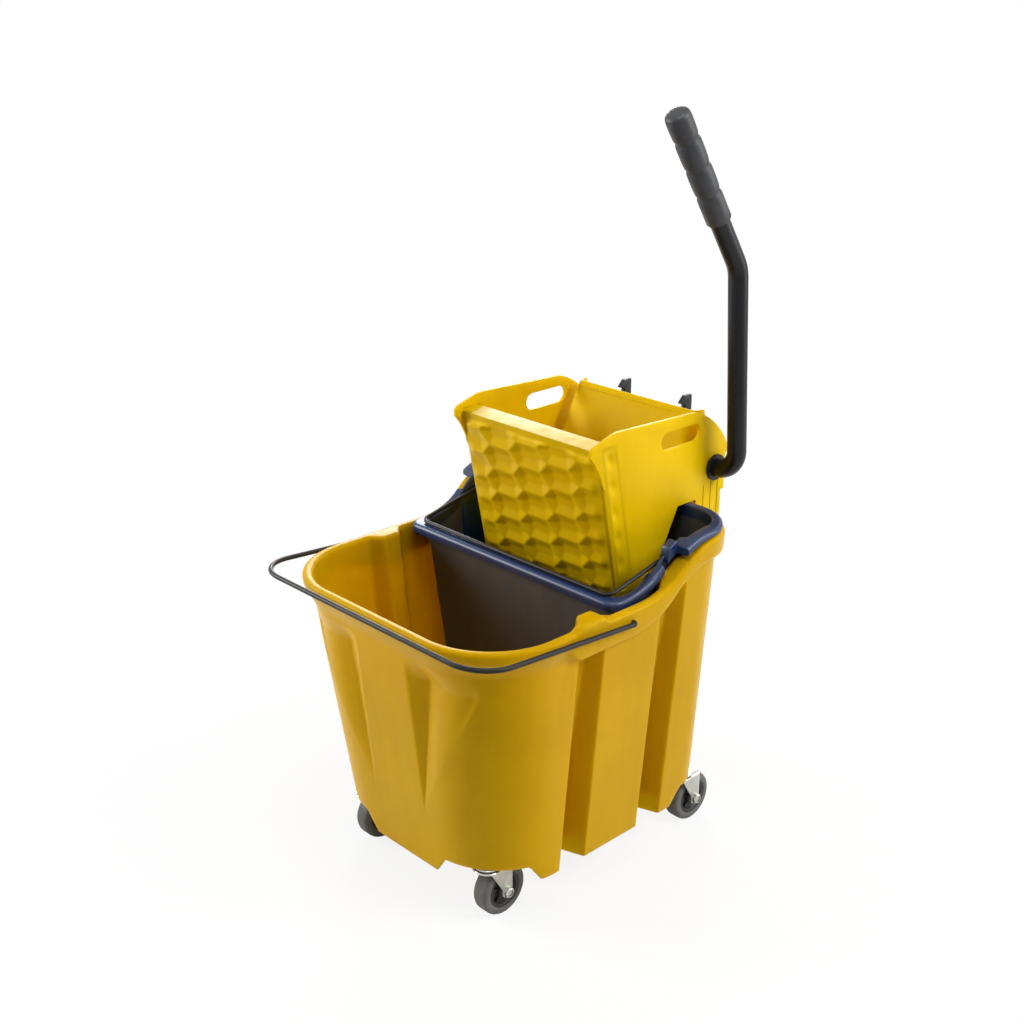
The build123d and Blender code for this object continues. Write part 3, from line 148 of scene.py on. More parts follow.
def make_piece(node, shape, body, slot, *materials, name="", sharp=38):
    """Turns a shape into an object that rides on a body and takes the place of a CAD node."""
    mesh = bpy.data.meshes.new(name or f"{node}_skin")
    mesh.from_pydata([Vector(point) * MM for point in shape.points], [], shape.faces)
    for material in materials:
        mesh.materials.append(material)
    mesh.polygons.foreach_set("material_index", shape.paint)
    work = bmesh.new()
    work.from_mesh(mesh)
    bmesh.ops.remove_doubles(work, verts=work.verts[:], dist=WELD)
    bmesh.ops.recalc_face_normals(work, faces=work.faces[:])
    work.to_mesh(mesh)
    work.free()
    mesh.shade_smooth()
    mesh.set_sharp_from_angle(angle=math.radians(sharp))
    piece = bpy.data.objects.new(mesh.name, mesh)
    bpy.context.scene.collection.objects.link(piece)
    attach(piece, body)
    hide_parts(node)
    print(piece.name, len(mesh.polygons), "faces")


# %% Arcs and rounded paths
def arc_through(start, middle, end, count):
    """Points of an arc of under half a circle through three points in a plane, without the last."""
    a, b, c = (complex(*point) for point in (start, middle, end))
    ratio = (c - a) / (b - a)
    centre = a + (b - a) * (ratio - abs(ratio) ** 2) / (2j * ratio.imag)
    turn = cmath.phase((c - centre) / (a - centre))
    arc = [centre + (a - centre) * cmath.exp(1j * turn * step / count) for step in range(count)]
    return [(point.real, point.imag) for point in arc]


def rounded_path(corners, radii, arc_steps):
    """Straight runs joined by arcs, as points."""
    corners = [Vector(corner) for corner in corners]
    path = [corners[0]]
    for before, corner, after, radius in zip(corners, corners[1:], corners[2:], radii):
        inward = (before - corner).normalized()
        outward = (after - corner).normalized()
        turn = math.pi - inward.angle(outward)
        first = corner + inward * radius * math.tan(turn / 2)
        centre = corner + (inward + outward).normalized() * (radius / math.cos(turn / 2))
        for step in range(arc_steps + 1):
            angle = turn * step / arc_steps
            path.append(centre + (first - centre) * math.cos(angle) - inward * radius * math.sin(angle))
    path.append(corners[-1])
    return [tuple(point) for point in path]


quarter_arc = arc_through((1.0, 0.0), (math.sqrt(0.5), math.sqrt(0.5)), (0.0, 1.0), 2)
print("half way round a quarter arc", [round(value, 3) for value in quarter_arc[1]])


# %% Eased steps and round lips
def smooth_step(low, high, value):
    """0 below low, 1 above high, eased between."""
    share = min(max((value - low) / (high - low), 0.0), 1.0)
    return share * share * (3 - 2 * share)


def eased_ramp(value, ease):
    """A straight ramp from 0 to 1 with both of its corners rounded."""
    if value < ease:
        return max(value + ease, 0.0) ** 2 / (4 * ease)
    if value > 1 - ease:
        return 1 - max(1 + ease - value, 0.0) ** 2 / (4 * ease)
    return value


def rise(y, start, end, low, high):
    """Height on an S of two equal arcs, as the CAD model has it."""
    y = min(max(y, start), end)
    half_run = (end - start) / 2
    half_rise = (high - low) / 2
    radius = (half_run ** 2 + half_rise ** 2) / (2 * half_rise)
    if y < start + half_run:
        return low + radius - math.sqrt(radius ** 2 - (y - start) ** 2)
    return high - radius + math.sqrt(radius ** 2 - (end - y) ** 2)


def round_lip(radius, degrees):
    """Drop from a lip's top and inset from its face, at angles up from the face."""
    turns = [math.radians(angle) for angle in degrees]
    return [(radius * (1 - math.sin(turn)), radius * (1 - math.cos(turn))) for turn in turns]


print("eased ramp", [round(eased_ramp(value, ease=0.2), 2) for value in (-0.1, 0.1, 0.5, 0.9, 1.1)])

# %% [markdown]
# ## Finishes
# Moulded plastic is never one flat colour. Its pigment drifts a little, its gloss changes where hands
# and water have been, and a fine texture from the mould breaks up reflections. Several finishes here
# share that behaviour, so it is one node group, `moulded surface`, with its own scale and strength in
# each material. It gives out a tone, a gloss and a height, and the shader itself stays outside it.

# %% Nodes with values or links
NOISE_ROUGHNESS = 0.55


def feed(tree, value, socket):
    """Links an input to an output socket, or sets it to a plain value."""
    if isinstance(value, bpy.types.NodeSocket):
        tree.links.new(value, socket)
    else:
        socket.default_value = value


def add_node(tree, kind, inputs):
    """A new node with its inputs fed by name or by number."""
    node = tree.nodes.new(kind)
    for key, value in inputs.items():
        feed(tree, value, node.inputs[key])
    return node


def math_node(tree, operation, first, second, clamp=False):
    """The result of one step of arithmetic on two inputs."""
    node = add_node(tree, "ShaderNodeMath", {0: first, 1: second})
    node.operation = operation
    node.use_clamp = clamp
    return node.outputs[0]


def noise_node(tree, vector, scale, detail):
    """Soft random patches, about so many to the metre as the scale says."""
    inputs = {"Vector": vector, "Scale": scale, "Detail": detail, "Roughness": NOISE_ROUGHNESS}
    return add_node(tree, "ShaderNodeTexNoise", inputs).outputs[0]


print("each finer layer of noise has", NOISE_ROUGHNESS, "of the strength of the one before")

# %% The moulded surface group
GROUP_INPUTS = ("Cloud Scale", "Streak", "Gloss Low", "Gloss High", "Grain Scale")
STREAK_STRETCH = (70.0, 70.0, 3.0)
SMEAR_SCALE = 24.0
WAVE_SCALE = 16.0
GRAIN_SHARE = 0.12


def build_moulded_surface():
    group = bpy.data.node_groups.new("moulded surface", "ShaderNodeTree")
    for name in GROUP_INPUTS:
        group.interface.new_socket(name=name, in_out="INPUT", socket_type="NodeSocketFloat")
    given = group.nodes.new("NodeGroupInput").outputs
    place = group.nodes.new("ShaderNodeTexCoord").outputs["Object"]
    stretched = add_node(group, "ShaderNodeMapping", {"Vector": place, "Scale": STREAK_STRETCH})
    cloud = noise_node(group, place, given["Cloud Scale"], 4.0)
    streak = noise_node(group, stretched.outputs["Vector"], 1.0, 3.0)
    weighted = math_node(group, "MULTIPLY", math_node(group, "SUBTRACT", streak, 0.5), given["Streak"])
    smear = noise_node(group, place, SMEAR_SCALE, 5.0)
    spread = math_node(group, "SUBTRACT", given["Gloss High"], given["Gloss Low"])
    grain = noise_node(group, place, given["Grain Scale"], 2.0)
    wave = noise_node(group, place, WAVE_SCALE, 2.0)
    results = {
        "Tone": math_node(group, "ADD", cloud, weighted, clamp=True),
        "Gloss": math_node(group, "ADD", math_node(group, "MULTIPLY", smear, spread), given["Gloss Low"]),
        "Height": math_node(group, "ADD", math_node(group, "MULTIPLY", grain, GRAIN_SHARE), wave),
    }
    for name in results:
        group.interface.new_socket(name=name, in_out="OUTPUT", socket_type="NodeSocketFloat")
    add_node(group, "NodeGroupOutput", results)
    return group


moulded_surface = build_moulded_surface()
print("moulded surface has", len(moulded_surface.nodes), "nodes")

# %% A material made from the group
TONE_RANGE = (0.3, 0.72)
BUMP_DISTANCE = 0.0006


def finish(name, dark, light, gloss, cloud=9.0, streak=0.3, grain=900.0, bump=0.08, extra=None):
    """Principled material whose colour, gloss and bump come from the moulded surface group."""
    material = bpy.data.materials.new(name)
    material.use_nodes = True
    tree = material.node_tree
    surface = tree.nodes.new("ShaderNodeGroup")
    surface.node_tree = moulded_surface
    for key, value in zip(GROUP_INPUTS, (cloud, streak, *gloss, grain)):
        surface.inputs[key].default_value = value
    ramp = add_node(tree, "ShaderNodeValToRGB", {"Fac": surface.outputs["Tone"]})
    for element, position, colour in zip(ramp.color_ramp.elements, TONE_RANGE, (dark, light)):
        element.position = position
        element.color = (*colour, 1.0)
    relief = add_node(tree, "ShaderNodeBump", {
        "Strength": bump, "Distance": BUMP_DISTANCE, "Height": surface.outputs["Height"]})
    inputs = {"Base Color": ramp.outputs["Color"], "Roughness": surface.outputs["Gloss"],
              "Normal": relief.outputs["Normal"], **(extra or {})}
    for key, value in inputs.items():
        feed(tree, value, tree.nodes["Principled BSDF"].inputs[key])
    return material


print("a finish goes from dark to light between tones", *TONE_RANGE)

# %% [markdown]
# The two yellows are plastics that let a little light in: it scatters and comes out a few millimetres
# away, so shadows on them stay warm. A plain yellow would look painted, so both use subsurface light.
# The tub is softer and deeper in colour and the wringer brighter. Most of the lip's top is painted paler, a
# painted highlight for the light that falls on it from above.

# %% Yellow plastics
bucket_yellow = finish(
    "bucket yellow", (0.535, 0.302, 0.001), (0.625, 0.362, 0.002), (0.26, 0.38), cloud=5.0,
    extra={"Specular IOR Level": 0.12, "Specular Tint": (1.0, 0.72, 0.05, 1.0), "Subsurface Weight": 0.5,
           "Subsurface Radius": (0.013, 0.012, 0.0008), "Subsurface Scale": 1.0})
wringer_yellow = finish(
    "wringer yellow", (0.70, 0.44, 0.001), (0.79, 0.515, 0.002), (0.30, 0.44), cloud=8.0,
    extra={"Specular IOR Level": 0.1, "Specular Tint": (1.0, 0.8, 0.02, 1.0), "Subsurface Weight": 0.3,
           "Subsurface Radius": (0.005, 0.0045, 0.0005), "Subsurface Scale": 1.0})
# The lip's pale yellow is a painted highlight that stands for light from above on the lip's top.
painted_lip_highlight = finish(
    "painted lip highlight", (0.72, 0.50, 0.10), (0.84, 0.68, 0.27), (0.45, 0.6), cloud=60.0, streak=0.6)
print("yellow finishes", bucket_yellow.name, wringer_yellow.name, painted_lip_highlight.name)

# %% [markdown]
# The pail is charcoal with a navy rim, the lever is powder-coated tube, the bails are coated wire, and
# the casters are zinc steel with black hubs and grey tyres. None of these lets light in, so colour,
# gloss and grain tell them apart. Five small CAD nodes that hardly show keep their shape and only
# get a finish here.

# %% Dark plastics, coated steel, rubber and zinc
DULL = {"Specular IOR Level": 0.25}
FINE_GRAIN = 2200.0
pail_charcoal = finish("pail charcoal", (0.050, 0.054, 0.064), (0.072, 0.076, 0.088), (0.38, 0.55))
pail_navy = finish("rim navy", (0.004, 0.018, 0.070), (0.008, 0.030, 0.110), (0.30, 0.42))
black_plastic = finish(
    "black plastic", (0.010, 0.010, 0.010), (0.020, 0.020, 0.020), (0.4, 0.55), extra=DULL)
powder_black = finish(
    "powder black", (0.004, 0.004, 0.005), (0.009, 0.009, 0.011), (0.26, 0.38), grain=FINE_GRAIN, extra=DULL)
wire_black = finish(
    "wire black", (0.008, 0.007, 0.006), (0.018, 0.016, 0.014), (0.35, 0.5), grain=FINE_GRAIN, extra=DULL)
grip_rubber = finish(
    "grip rubber", (0.014, 0.015, 0.018), (0.028, 0.029, 0.033), (0.42, 0.55), cloud=40.0, bump=0.2)
tyre_grey = finish("tyre grey", (0.085, 0.087, 0.078), (0.13, 0.13, 0.12), (0.55, 0.7), cloud=60.0)
hub_black = finish("hub black", (0.009, 0.008, 0.007), (0.018, 0.017, 0.015), (0.4, 0.55))
zinc = finish(
    "zinc plate", (0.46, 0.46, 0.42), (0.62, 0.63, 0.60), (0.22, 0.4), cloud=60.0, streak=0.2,
    extra={"Metallic": 1.0})
for node, material in {"shaft_bush_right": black_plastic, "shaft_bush_left": black_plastic,
                       "shaft_end_cap": black_plastic, "plate_hinge_pin": zinc, "arm_pins": zinc}.items():
    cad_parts[node].data.materials.clear()
    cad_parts[node].data.materials.append(material)
    print(node, "keeps its CAD shape in", material.name)

# %% [markdown]
# ## The tub
# The bucket is smooth polyethylene: a drafted wall with big front corners, two tapered flutes on
# each side, two wedge flutes on the front, and a deep flange under a rim that climbs in an S towards
# the rear. It could be cut from a block with booleans, as the CAD model is, but then every edge would
# be knife sharp. Here each column of points stands at one place around the wall, and the columns at a
# flute follow its edges, so creases stay crisp where they should and lips are properly round.

# %% Sizes of the tub
TUB_WALL = 4.0
TUB_FOOT = 50.0
TUB_FLOOR = 78.0
TUB_UNDER = 74.0
TUB_SIZES = np.array([157.0, -186.0, 178.0, 98.0, 42.0])
TUB_GROWTH = np.array([33.0, -43.0, 2.0, -3.0, 14.0]) / 380.0
# A line that climbs in an S: where it starts and ends along Y, and its low and high heights
RIM_LINE = (12.0, 145.0, 379.5, 429.0)
FLANGE_LINE = (-4.0, 137.0, 342.5, 402.0)
FLANGE_OUT = 9.0
# Swivel axis in X and Y, and the radius of the skirt's notch round it
CASTERS = {
    "front_right": (111.0, -156.0, 64.0),
    "front_left": (-111.0, -156.0, 64.0),
    "rear_right": (134.0, 161.0, 50.0),
    "rear_left": (-134.0, 161.0, 50.0),
}


def tub_sizes(z):
    """Half width, front, rear, and front and rear corner radius of the wall at a height."""
    return (TUB_SIZES + TUB_GROWTH * (z - TUB_FOOT)).tolist()


print("tub wall is", round(2 * tub_sizes(RIM_LINE[3])[0]), "mm wide at its highest rim")

# %% Sizes of the flutes
FLUTES_Y = (-61.0, 74.5)
FLUTE_HALF = 21.0
FLUTE_FLOOR_HALF = 9.0
FLOOR_GROWTH = 0.7
TAPER_FOOT = 49.0
FLUTE_DEPTH = 37.0
FLUTE_TAPER = 26.0 / 381.0
WEDGE_TOP = 340.0
WEDGE_ROOF = 315.0
WEDGE_POINT = 132.0
WEDGE_POINT_X = 46.0
WEDGE_SPREAD = (-2.0, 24.0, 101.0)
WEDGE_LEAST = 0.14
WEDGE_DEPTH = 14.0
WEDGE_END = 0.2
WEDGE_END_FROM = 0.6
WEDGE_CURVE = 1.5
WEDGE_LIP = 6.0


def flute_depth(z):
    """Depth of a side flute, which grows shallower towards the rim."""
    return FLUTE_DEPTH - FLUTE_TAPER * (z - TAPER_FOOT)


def wedge_lines(z, least=0.0):
    """Where the wedge flute's inner edge, crease and outer edge are along the front, and its share."""
    share = min(max((z - WEDGE_POINT) / (WEDGE_ROOF - WEDGE_POINT), least), 1.0)
    return *(WEDGE_POINT_X + spread * share for spread in WEDGE_SPREAD), share


def tub_sink(place, z, run, grow=0.0):
    """How far a flute draws the wall in; grow widens it into the ridge that shows inside."""
    if place[0] == "side":
        off = min(abs(place[1] - y) for y in FLUTES_Y)
        outer = FLUTE_HALF + grow
        inner = FLUTE_FLOOR_HALF + FLOOR_GROWTH * grow
        return flute_depth(z) * eased_ramp((outer - off) / (outer - inner), ease=0.12)
    if run is None:
        return 0.0
    inner, crease, outer, share = wedge_lines(z)
    if share <= 0 or not inner < run < outer:
        return 0.0
    depth = WEDGE_DEPTH * share
    if run < crease:
        return depth * (run - inner) / (crease - inner)
    end = WEDGE_END * smooth_step(WEDGE_END_FROM, 1.0, share)
    ramp = end + (1 - end) * ((outer - run) / (outer - crease)) ** WEDGE_CURVE
    return depth * ramp * eased_ramp((outer - run) / (WEDGE_LIP * share), ease=0.3)


print("side flutes are", round(flute_depth(TUB_FOOT), 1), "mm deep at the foot")


# %% Places round the tub, as the name of a stretch and a share or a distance along it
def stretch(kind, count, with_end=False):
    """Even shares of a stretch, with its start or else with its end."""
    shares = np.linspace(0, 1, count)[1:] if with_end else np.linspace(0, 1, count, endpoint=False)
    return [(kind, share) for share in shares]


def both_ways(*steps):
    """Offsets to both sides of a middle line, and the line itself."""
    return np.array([*(-step for step in steps), 0.0, *steps[::-1]])


FLUTE_STEPS = both_ways(25.0, 23.0, 22.0, 21.3, 20.6, 19.8, 18.0, 15.0, 12.0, 10.4, 9.6, 8.8, 8.0, 6.0)
RAMP_SHARES = [*np.linspace(0, 0.92, 20), 0.94, 0.96, 0.98]
first_flute, second_flute = (y + FLUTE_STEPS for y in FLUTES_Y)
between_flutes = np.linspace(first_flute[-1], second_flute[0], 18)[1:-1]
tub_places = [
    *stretch("panel", 12), *stretch("wedge_wall", 10), *(("wedge_ramp", share) for share in RAMP_SHARES),
    *stretch("corner", 40), *stretch("lead", 8),
    *(("side", y) for y in [*first_flute, *between_flutes, *second_flute]),
    *stretch("tail", 14, True), *stretch("turn", 26, True), *stretch("back", 12, True),
]
print("half of the tub has", len(tub_places), "columns")


# %% Points of the plain wall
def rear_place(kind, t, start, half, rear, radius):
    """Point and outward direction on a round-cornered rear outline: tail, turn or back."""
    if kind == "tail":
        return half, start + (rear - radius - start) * t, 1.0, 0.0
    if kind == "back":
        return (half - radius) * (1 - t), rear, 0.0, 1.0
    out_x = math.cos(t * math.pi / 2)
    out_y = math.sin(t * math.pi / 2)
    return half - radius * (1 - out_x), rear - radius * (1 - out_y), out_x, out_y


def tub_place(place, z):
    """Point of the plain wall at a place and height, its outward direction, and its run along the front."""
    kind, t = place
    half, front, rear, front_radius, rear_radius = tub_sizes(z)
    flat = half - front_radius
    inner, crease, outer, _ = wedge_lines(z, WEDGE_LEAST)
    runs = {"panel": (0.0, inner), "wedge_wall": (inner, crease), "wedge_ramp": (crease, outer),
            "corner": (outer, flat + math.pi / 2 * front_radius)}
    if kind in runs:
        low, high = runs[kind]
        run = low + (high - low) * t
        angle = max(run - flat, 0.0) / front_radius
        out_x = math.sin(angle)
        out_y = -math.cos(angle)
        return min(run, flat) + front_radius * out_x, front + front_radius * (1 + out_y), out_x, out_y, run
    if kind == "lead":
        start = front + front_radius
        return half, start + (first_flute[0] - start) * t, 1.0, 0.0, None
    if kind == "side":
        return half, t, 1.0, 0.0, None
    return *rear_place(kind, t, second_flute[-1], half, rear, rear_radius), None


print("front middle of the rim", [round(value, 1) for value in tub_place(("panel", 0.0), RIM_LINE[2])[:2]])

# %% The skirt's lower edge
NOTCH_TAPER = 14.0 / 25.0
FLUTE_SLACK = 2.5
FOOT_STEP = 0.5


def tub_foot(place):
    """Lower edge of the skirt: full height, or cut up round a caster or in a flute's floor."""
    z = TUB_FOOT
    while z < TUB_UNDER:
        x, y, out_x, out_y, run = tub_place(place, z)
        sink = tub_sink(place, z, run)
        if place[0] == "side" and sink > flute_depth(z) - FLUTE_SLACK:
            return TUB_UNDER
        gaps = [math.hypot(x - out_x * sink - cx, y - out_y * sink - cy) - wide
                for cx, cy, wide in CASTERS.values() if cx > 0]
        if min(gaps) + NOTCH_TAPER * (z - TAPER_FOOT) >= 0:
            return z
        z += FOOT_STEP
    return TUB_UNDER


print("columns cut up at the foot", sum(tub_foot(place) > TUB_FOOT for place in tub_places))

# %% The flange under the rim and the tab on it
HARD_FLANGE = [(-0.4, 1.0), (0.0, 2.6), (0.0, 5.8), (0.4, 7.5), (1.5, 8.6), (3.0, 9.0)]
SOFT_FLANGE = [(-0.4, 0.1), (2.5, 0.4), (7.0, 1.6), (14.0, 4.6), (21.0, 7.8), (25.0, 9.0)]
TAB_ENDS = (-96.0, -46.0)
TAB_RISE = 7.0
TAB_SLOPE = 8.0


def flange_profile(place):
    """Height above the flange's lower line and reach: a square step at the side, a slope at the front."""
    kind, t = place
    soft = 1.0 if kind in ("panel", "wedge_wall", "wedge_ramp", "corner") else 0.0
    if kind == "lead":
        soft = 1.0 - smooth_step(0.3, 1.0, t)
    return [(a + soft * (c - a), b + soft * (d - b)) for (a, b), (c, d) in zip(HARD_FLANGE, SOFT_FLANGE)]


def rim_tab(y, sign):
    """The small raised stop on the rim of the lever side."""
    if sign < 0:
        return 0.0
    return TAB_RISE * (eased_ramp((y - TAB_ENDS[0]) / TAB_SLOPE, ease=0.3)
                       * eased_ramp((TAB_ENDS[1] - y) / TAB_SLOPE, ease=0.3))


print("tab rises", rim_tab(sum(TAB_ENDS) / 2, 1), "mm")

# %% One column of the tub, from under the floor, round the skirt and over the rim to the floor
FOOT_ROUND = 1.2
FOOT_ROUND_MIDDLE = 0.35
FLOOR_ROUND = 4.0
ROOF_DROP = 27.5
RIM_LOOK_Z = 350.0
RIM_OUTER_ROUND = 5.5
RIM_INNER_ROUND = 5.0
INNER_SHARES = [0.03, 0.06, 0.09, 0.12, *np.linspace(0.12, 1, 34)[1:]]


def tub_column(place, sign):
    """Points of the tub's skin at a place, on the side that the sign says."""
    foot = tub_foot(place)
    flange_y = tub_place(place, RIM_LOOK_Z)[1]
    flange = rise(flange_y, *FLANGE_LINE)
    rim = rise(flange_y, *RIM_LINE) + rim_tab(flange_y, sign)
    fluted = place[0] == "side"
    column = []

    def put(z, out, sink_grow=None, sink_share=1.0):
        x, y, out_x, out_y, run = tub_place(place, z)
        if sink_grow is not None:
            out -= sink_share * tub_sink(place, z, run, sink_grow)
        column.append((sign * (x + out_x * out), y + out_y * out, z))

    put(TUB_UNDER, -TUB_WALL, 0.0)
    put(foot + FOOT_ROUND * (foot < TUB_UNDER), -TUB_WALL, 0.0)
    put(foot, FOOT_ROUND - TUB_WALL, 0.0)
    put(foot, -FOOT_ROUND, 0.0)
    put(foot + FOOT_ROUND_MIDDLE, -FOOT_ROUND_MIDDLE, 0.0)
    put(foot + FOOT_ROUND, 0.0, 0.0)
    roof = flange - ROOF_DROP
    for z in [*np.linspace(foot + FOOT_ROUND, roof - 1.0, 38)[1:], *np.linspace(roof, flange - 2.0, 9)]:
        closing = eased_ramp((z - WEDGE_ROOF) / (WEDGE_TOP - WEDGE_ROOF), ease=0.06)
        put(z, 0.0, 0.0, 1.0 if fluted else 1.0 - closing)
    for index, (up, out) in enumerate(flange_profile(place)):
        put(flange + up, out, 0.0 if fluted and index < 2 else None)
    start = column[-1][2]
    for share in (0.3, 0.6, 1.0):
        put(start + (rim - RIM_OUTER_ROUND - start) * share, FLANGE_OUT)
    for drop, inset in round_lip(RIM_OUTER_ROUND, (18, 36, 54, 72, 90)):
        put(rim - drop, FLANGE_OUT - inset)
    for drop, inset in round_lip(RIM_INNER_ROUND, (90, 72, 54, 36, 18, 0)):
        put(rim - drop, inset - TUB_WALL, TUB_WALL if fluted else None)
    start = rim - RIM_INNER_ROUND
    for share in INNER_SHARES:
        z = start + (TUB_FLOOR + FLOOR_ROUND - start) * share
        closing = smooth_step(WEDGE_ROOF, WEDGE_TOP + TUB_WALL, z)
        put(z, -TUB_WALL, TUB_WALL, 1.0 if fluted else 1.0 - closing)
    put(TUB_FLOOR + FOOT_ROUND, -TUB_WALL - FOOT_ROUND, TUB_WALL)
    put(TUB_FLOOR, -TUB_WALL - FLOOR_ROUND, TUB_WALL)
    return column


print("a column of the tub has", len(tub_column(tub_places[0], 1)), "points")

# %% Build the tub, with a socket in its floor over each caster
SOCKET = [(13.0, TUB_FLOOR - 1.0), (11.0, TUB_FLOOR + 0.8), (10.2, TUB_FLOOR + 3.0), (10.0, 106.5),
          (9.3, 108.4), (7.5, 109.0), (0.0, 109.0)]
UPRIGHT = (0, 0, 1)


def mirrored_rings(column, places):
    """Rings of a moulding from its columns on both sides, with the two end columns used once."""
    right = [column(place, 1) for place in places]
    left = [column(place, -1) for place in places[-2:0:-1]]
    return np.array(right + left).transpose(1, 0, 2)


tub_shape = Shape()
tub_shape.grid(mirrored_rings(tub_column, tub_places), capped=True)
for caster_x, caster_y, _ in CASTERS.values():
    tub_shape.lathe(SOCKET, (caster_x, caster_y, 0.0), UPRIGHT, 36)
make_piece("tub", tub_shape, "bucket", "bucket_yellow", bucket_yellow, sharp=42)

# %% [markdown]
# ## The lift-out pail
# The pail is a charcoal moulding with a rolled navy rim. Its front rim lies inside the tub and its rear
# rim on the tub's rim; between them the wall is drawn in to pass the ridge of the tub's rear flute. It
# is made like the tub: one grid from its underside, up the outside, over the roll and down to its floor.

# %% Sizes of the pail, where a pair is the value at the foot and its change up to the rim
PAIL_FOOT = 112.0
PAIL_TALL = 338.0
PAIL_WALL = 3.0
PAIL_HALF = (148.0, 26.0)
PAIL_FRONT = (16.0, -32.0)
PAIL_REAR = (166.0, 9.0)
PAIL_CORNER = 16.0
PAIL_REAR_CORNER = 44.0
PAIL_RIM_LINE = (-2.0, 130.0, 385.0, 438.0)
PAIL_BAND_LINE = (-2.0, 130.0, 373.0, 429.3)
PAIL_STEPS = both_ways(31.0, 28.0, 26.0, 24.0, 22.0, 20.0, 18.0, 16.0, 14.0, 12.5, 11.0, 9.0, 5.0)
pail_flute = FLUTES_Y[1] + PAIL_STEPS
pail_places = [
    *stretch("panel", 14), *stretch("corner", 10), *stretch("lead", 12), *(("side", y) for y in pail_flute),
    *stretch("tail", 8, True), *stretch("turn", 14, True), *stretch("back", 10, True),
]


def pail_size(pair, z):
    """One size of the pail at a height."""
    return pair[0] + pair[1] * (z - PAIL_FOOT) / PAIL_TALL


print("pail is", 2 * pail_size(PAIL_HALF, PAIL_FOOT), "mm wide at its foot")
print("half of the pail has", len(pail_places), "columns")

# %% Where the pail's wall and the face of its rim are
SHOULDER_OUT = 8.0
SHOULDER_Y = 97.0
SHOULDER_RUN = 3.0
CHANNEL_GAP = 6.0
CHANNEL_FLOOR_HALF = 13.2
CHANNEL_MOUTH_HALF = 27.0
RIM_FORWARD = 1.5
RIM_REACH = 10.0
RIM_REACH_AT_FLUTE = 0.8
RIM_FLUTE_FROM = 61.0
RIM_FLUTE_TO = 84.0
RIM_PAST_TUB = 5.0


def pail_place(place, z, out=0.0, relief=None):
    """Point of the pail's wall, moved out by out; relief draws it in round the tub's flute."""
    kind, t = place
    half = pail_size(PAIL_HALF, z) + out
    front = pail_size(PAIL_FRONT, z) - out * (RIM_FORWARD if out > 0 else 1.0)
    radius = PAIL_CORNER + min(out, 0.0)
    if kind == "panel":
        return (half - radius) * t, front
    if kind == "corner":
        angle = t * math.pi / 2
        return half - radius * (1 - math.sin(angle)), front + radius * (1 - math.cos(angle))
    if kind == "lead":
        return half, front + radius + (pail_flute[0] - front - radius) * t
    if kind != "side":
        rear = pail_size(PAIL_REAR, z) + out
        return rear_place(kind, t, pail_flute[-1], half + SHOULDER_OUT, rear, PAIL_REAR_CORNER + out)[:2]
    half += SHOULDER_OUT * eased_ramp((t - SHOULDER_Y) / SHOULDER_RUN, ease=0.2)
    if relief is None:
        return half, t
    channel = flute_depth(z) + CHANNEL_GAP + relief
    deep = half - (tub_sizes(z)[0] - channel)
    if deep > 0:
        floor_half = CHANNEL_FLOOR_HALF + FLOOR_GROWTH * relief
        mouth_half = floor_half + (CHANNEL_MOUTH_HALF + relief - floor_half) * deep / channel
        half -= deep * eased_ramp((mouth_half - abs(t - FLUTES_Y[1])) / (mouth_half - floor_half), ease=0.2)
    return half, t


def rim_edge(place, z):
    """Outer face of the rim: outside the wall at the front, on the tub's rim at the rear."""
    kind, t = place
    half, _, rear, _, radius = (size + RIM_PAST_TUB for size in tub_sizes(z))
    if kind in ("tail", "turn", "back"):
        return rear_place(kind, t, pail_flute[-1], half, rear, radius)[:2]
    if kind == "side" and t > RIM_FLUTE_TO:
        return half, t
    return pail_place(place, z, RIM_REACH_AT_FLUTE if kind == "side" and t > RIM_FLUTE_FROM else RIM_REACH)


rear_middle = rim_edge(("back", 1.0), PAIL_RIM_LINE[3])
print("rim's rear face is at", round(rear_middle[1], 1), "mm")

# %% One column of the pail
PAIL_LOOK_Z = 410.0
PAIL_ROUND = 5.0
PAIL_ROUND_MIDDLE = (1.5, 1.4)
RIM_LIP_OUTER = 5.0
RIM_LIP_INNER = 3.0
RIM_UNDERSIDE = 8.0
WALL_SHARES = np.linspace(0, 1, 30)[1:]


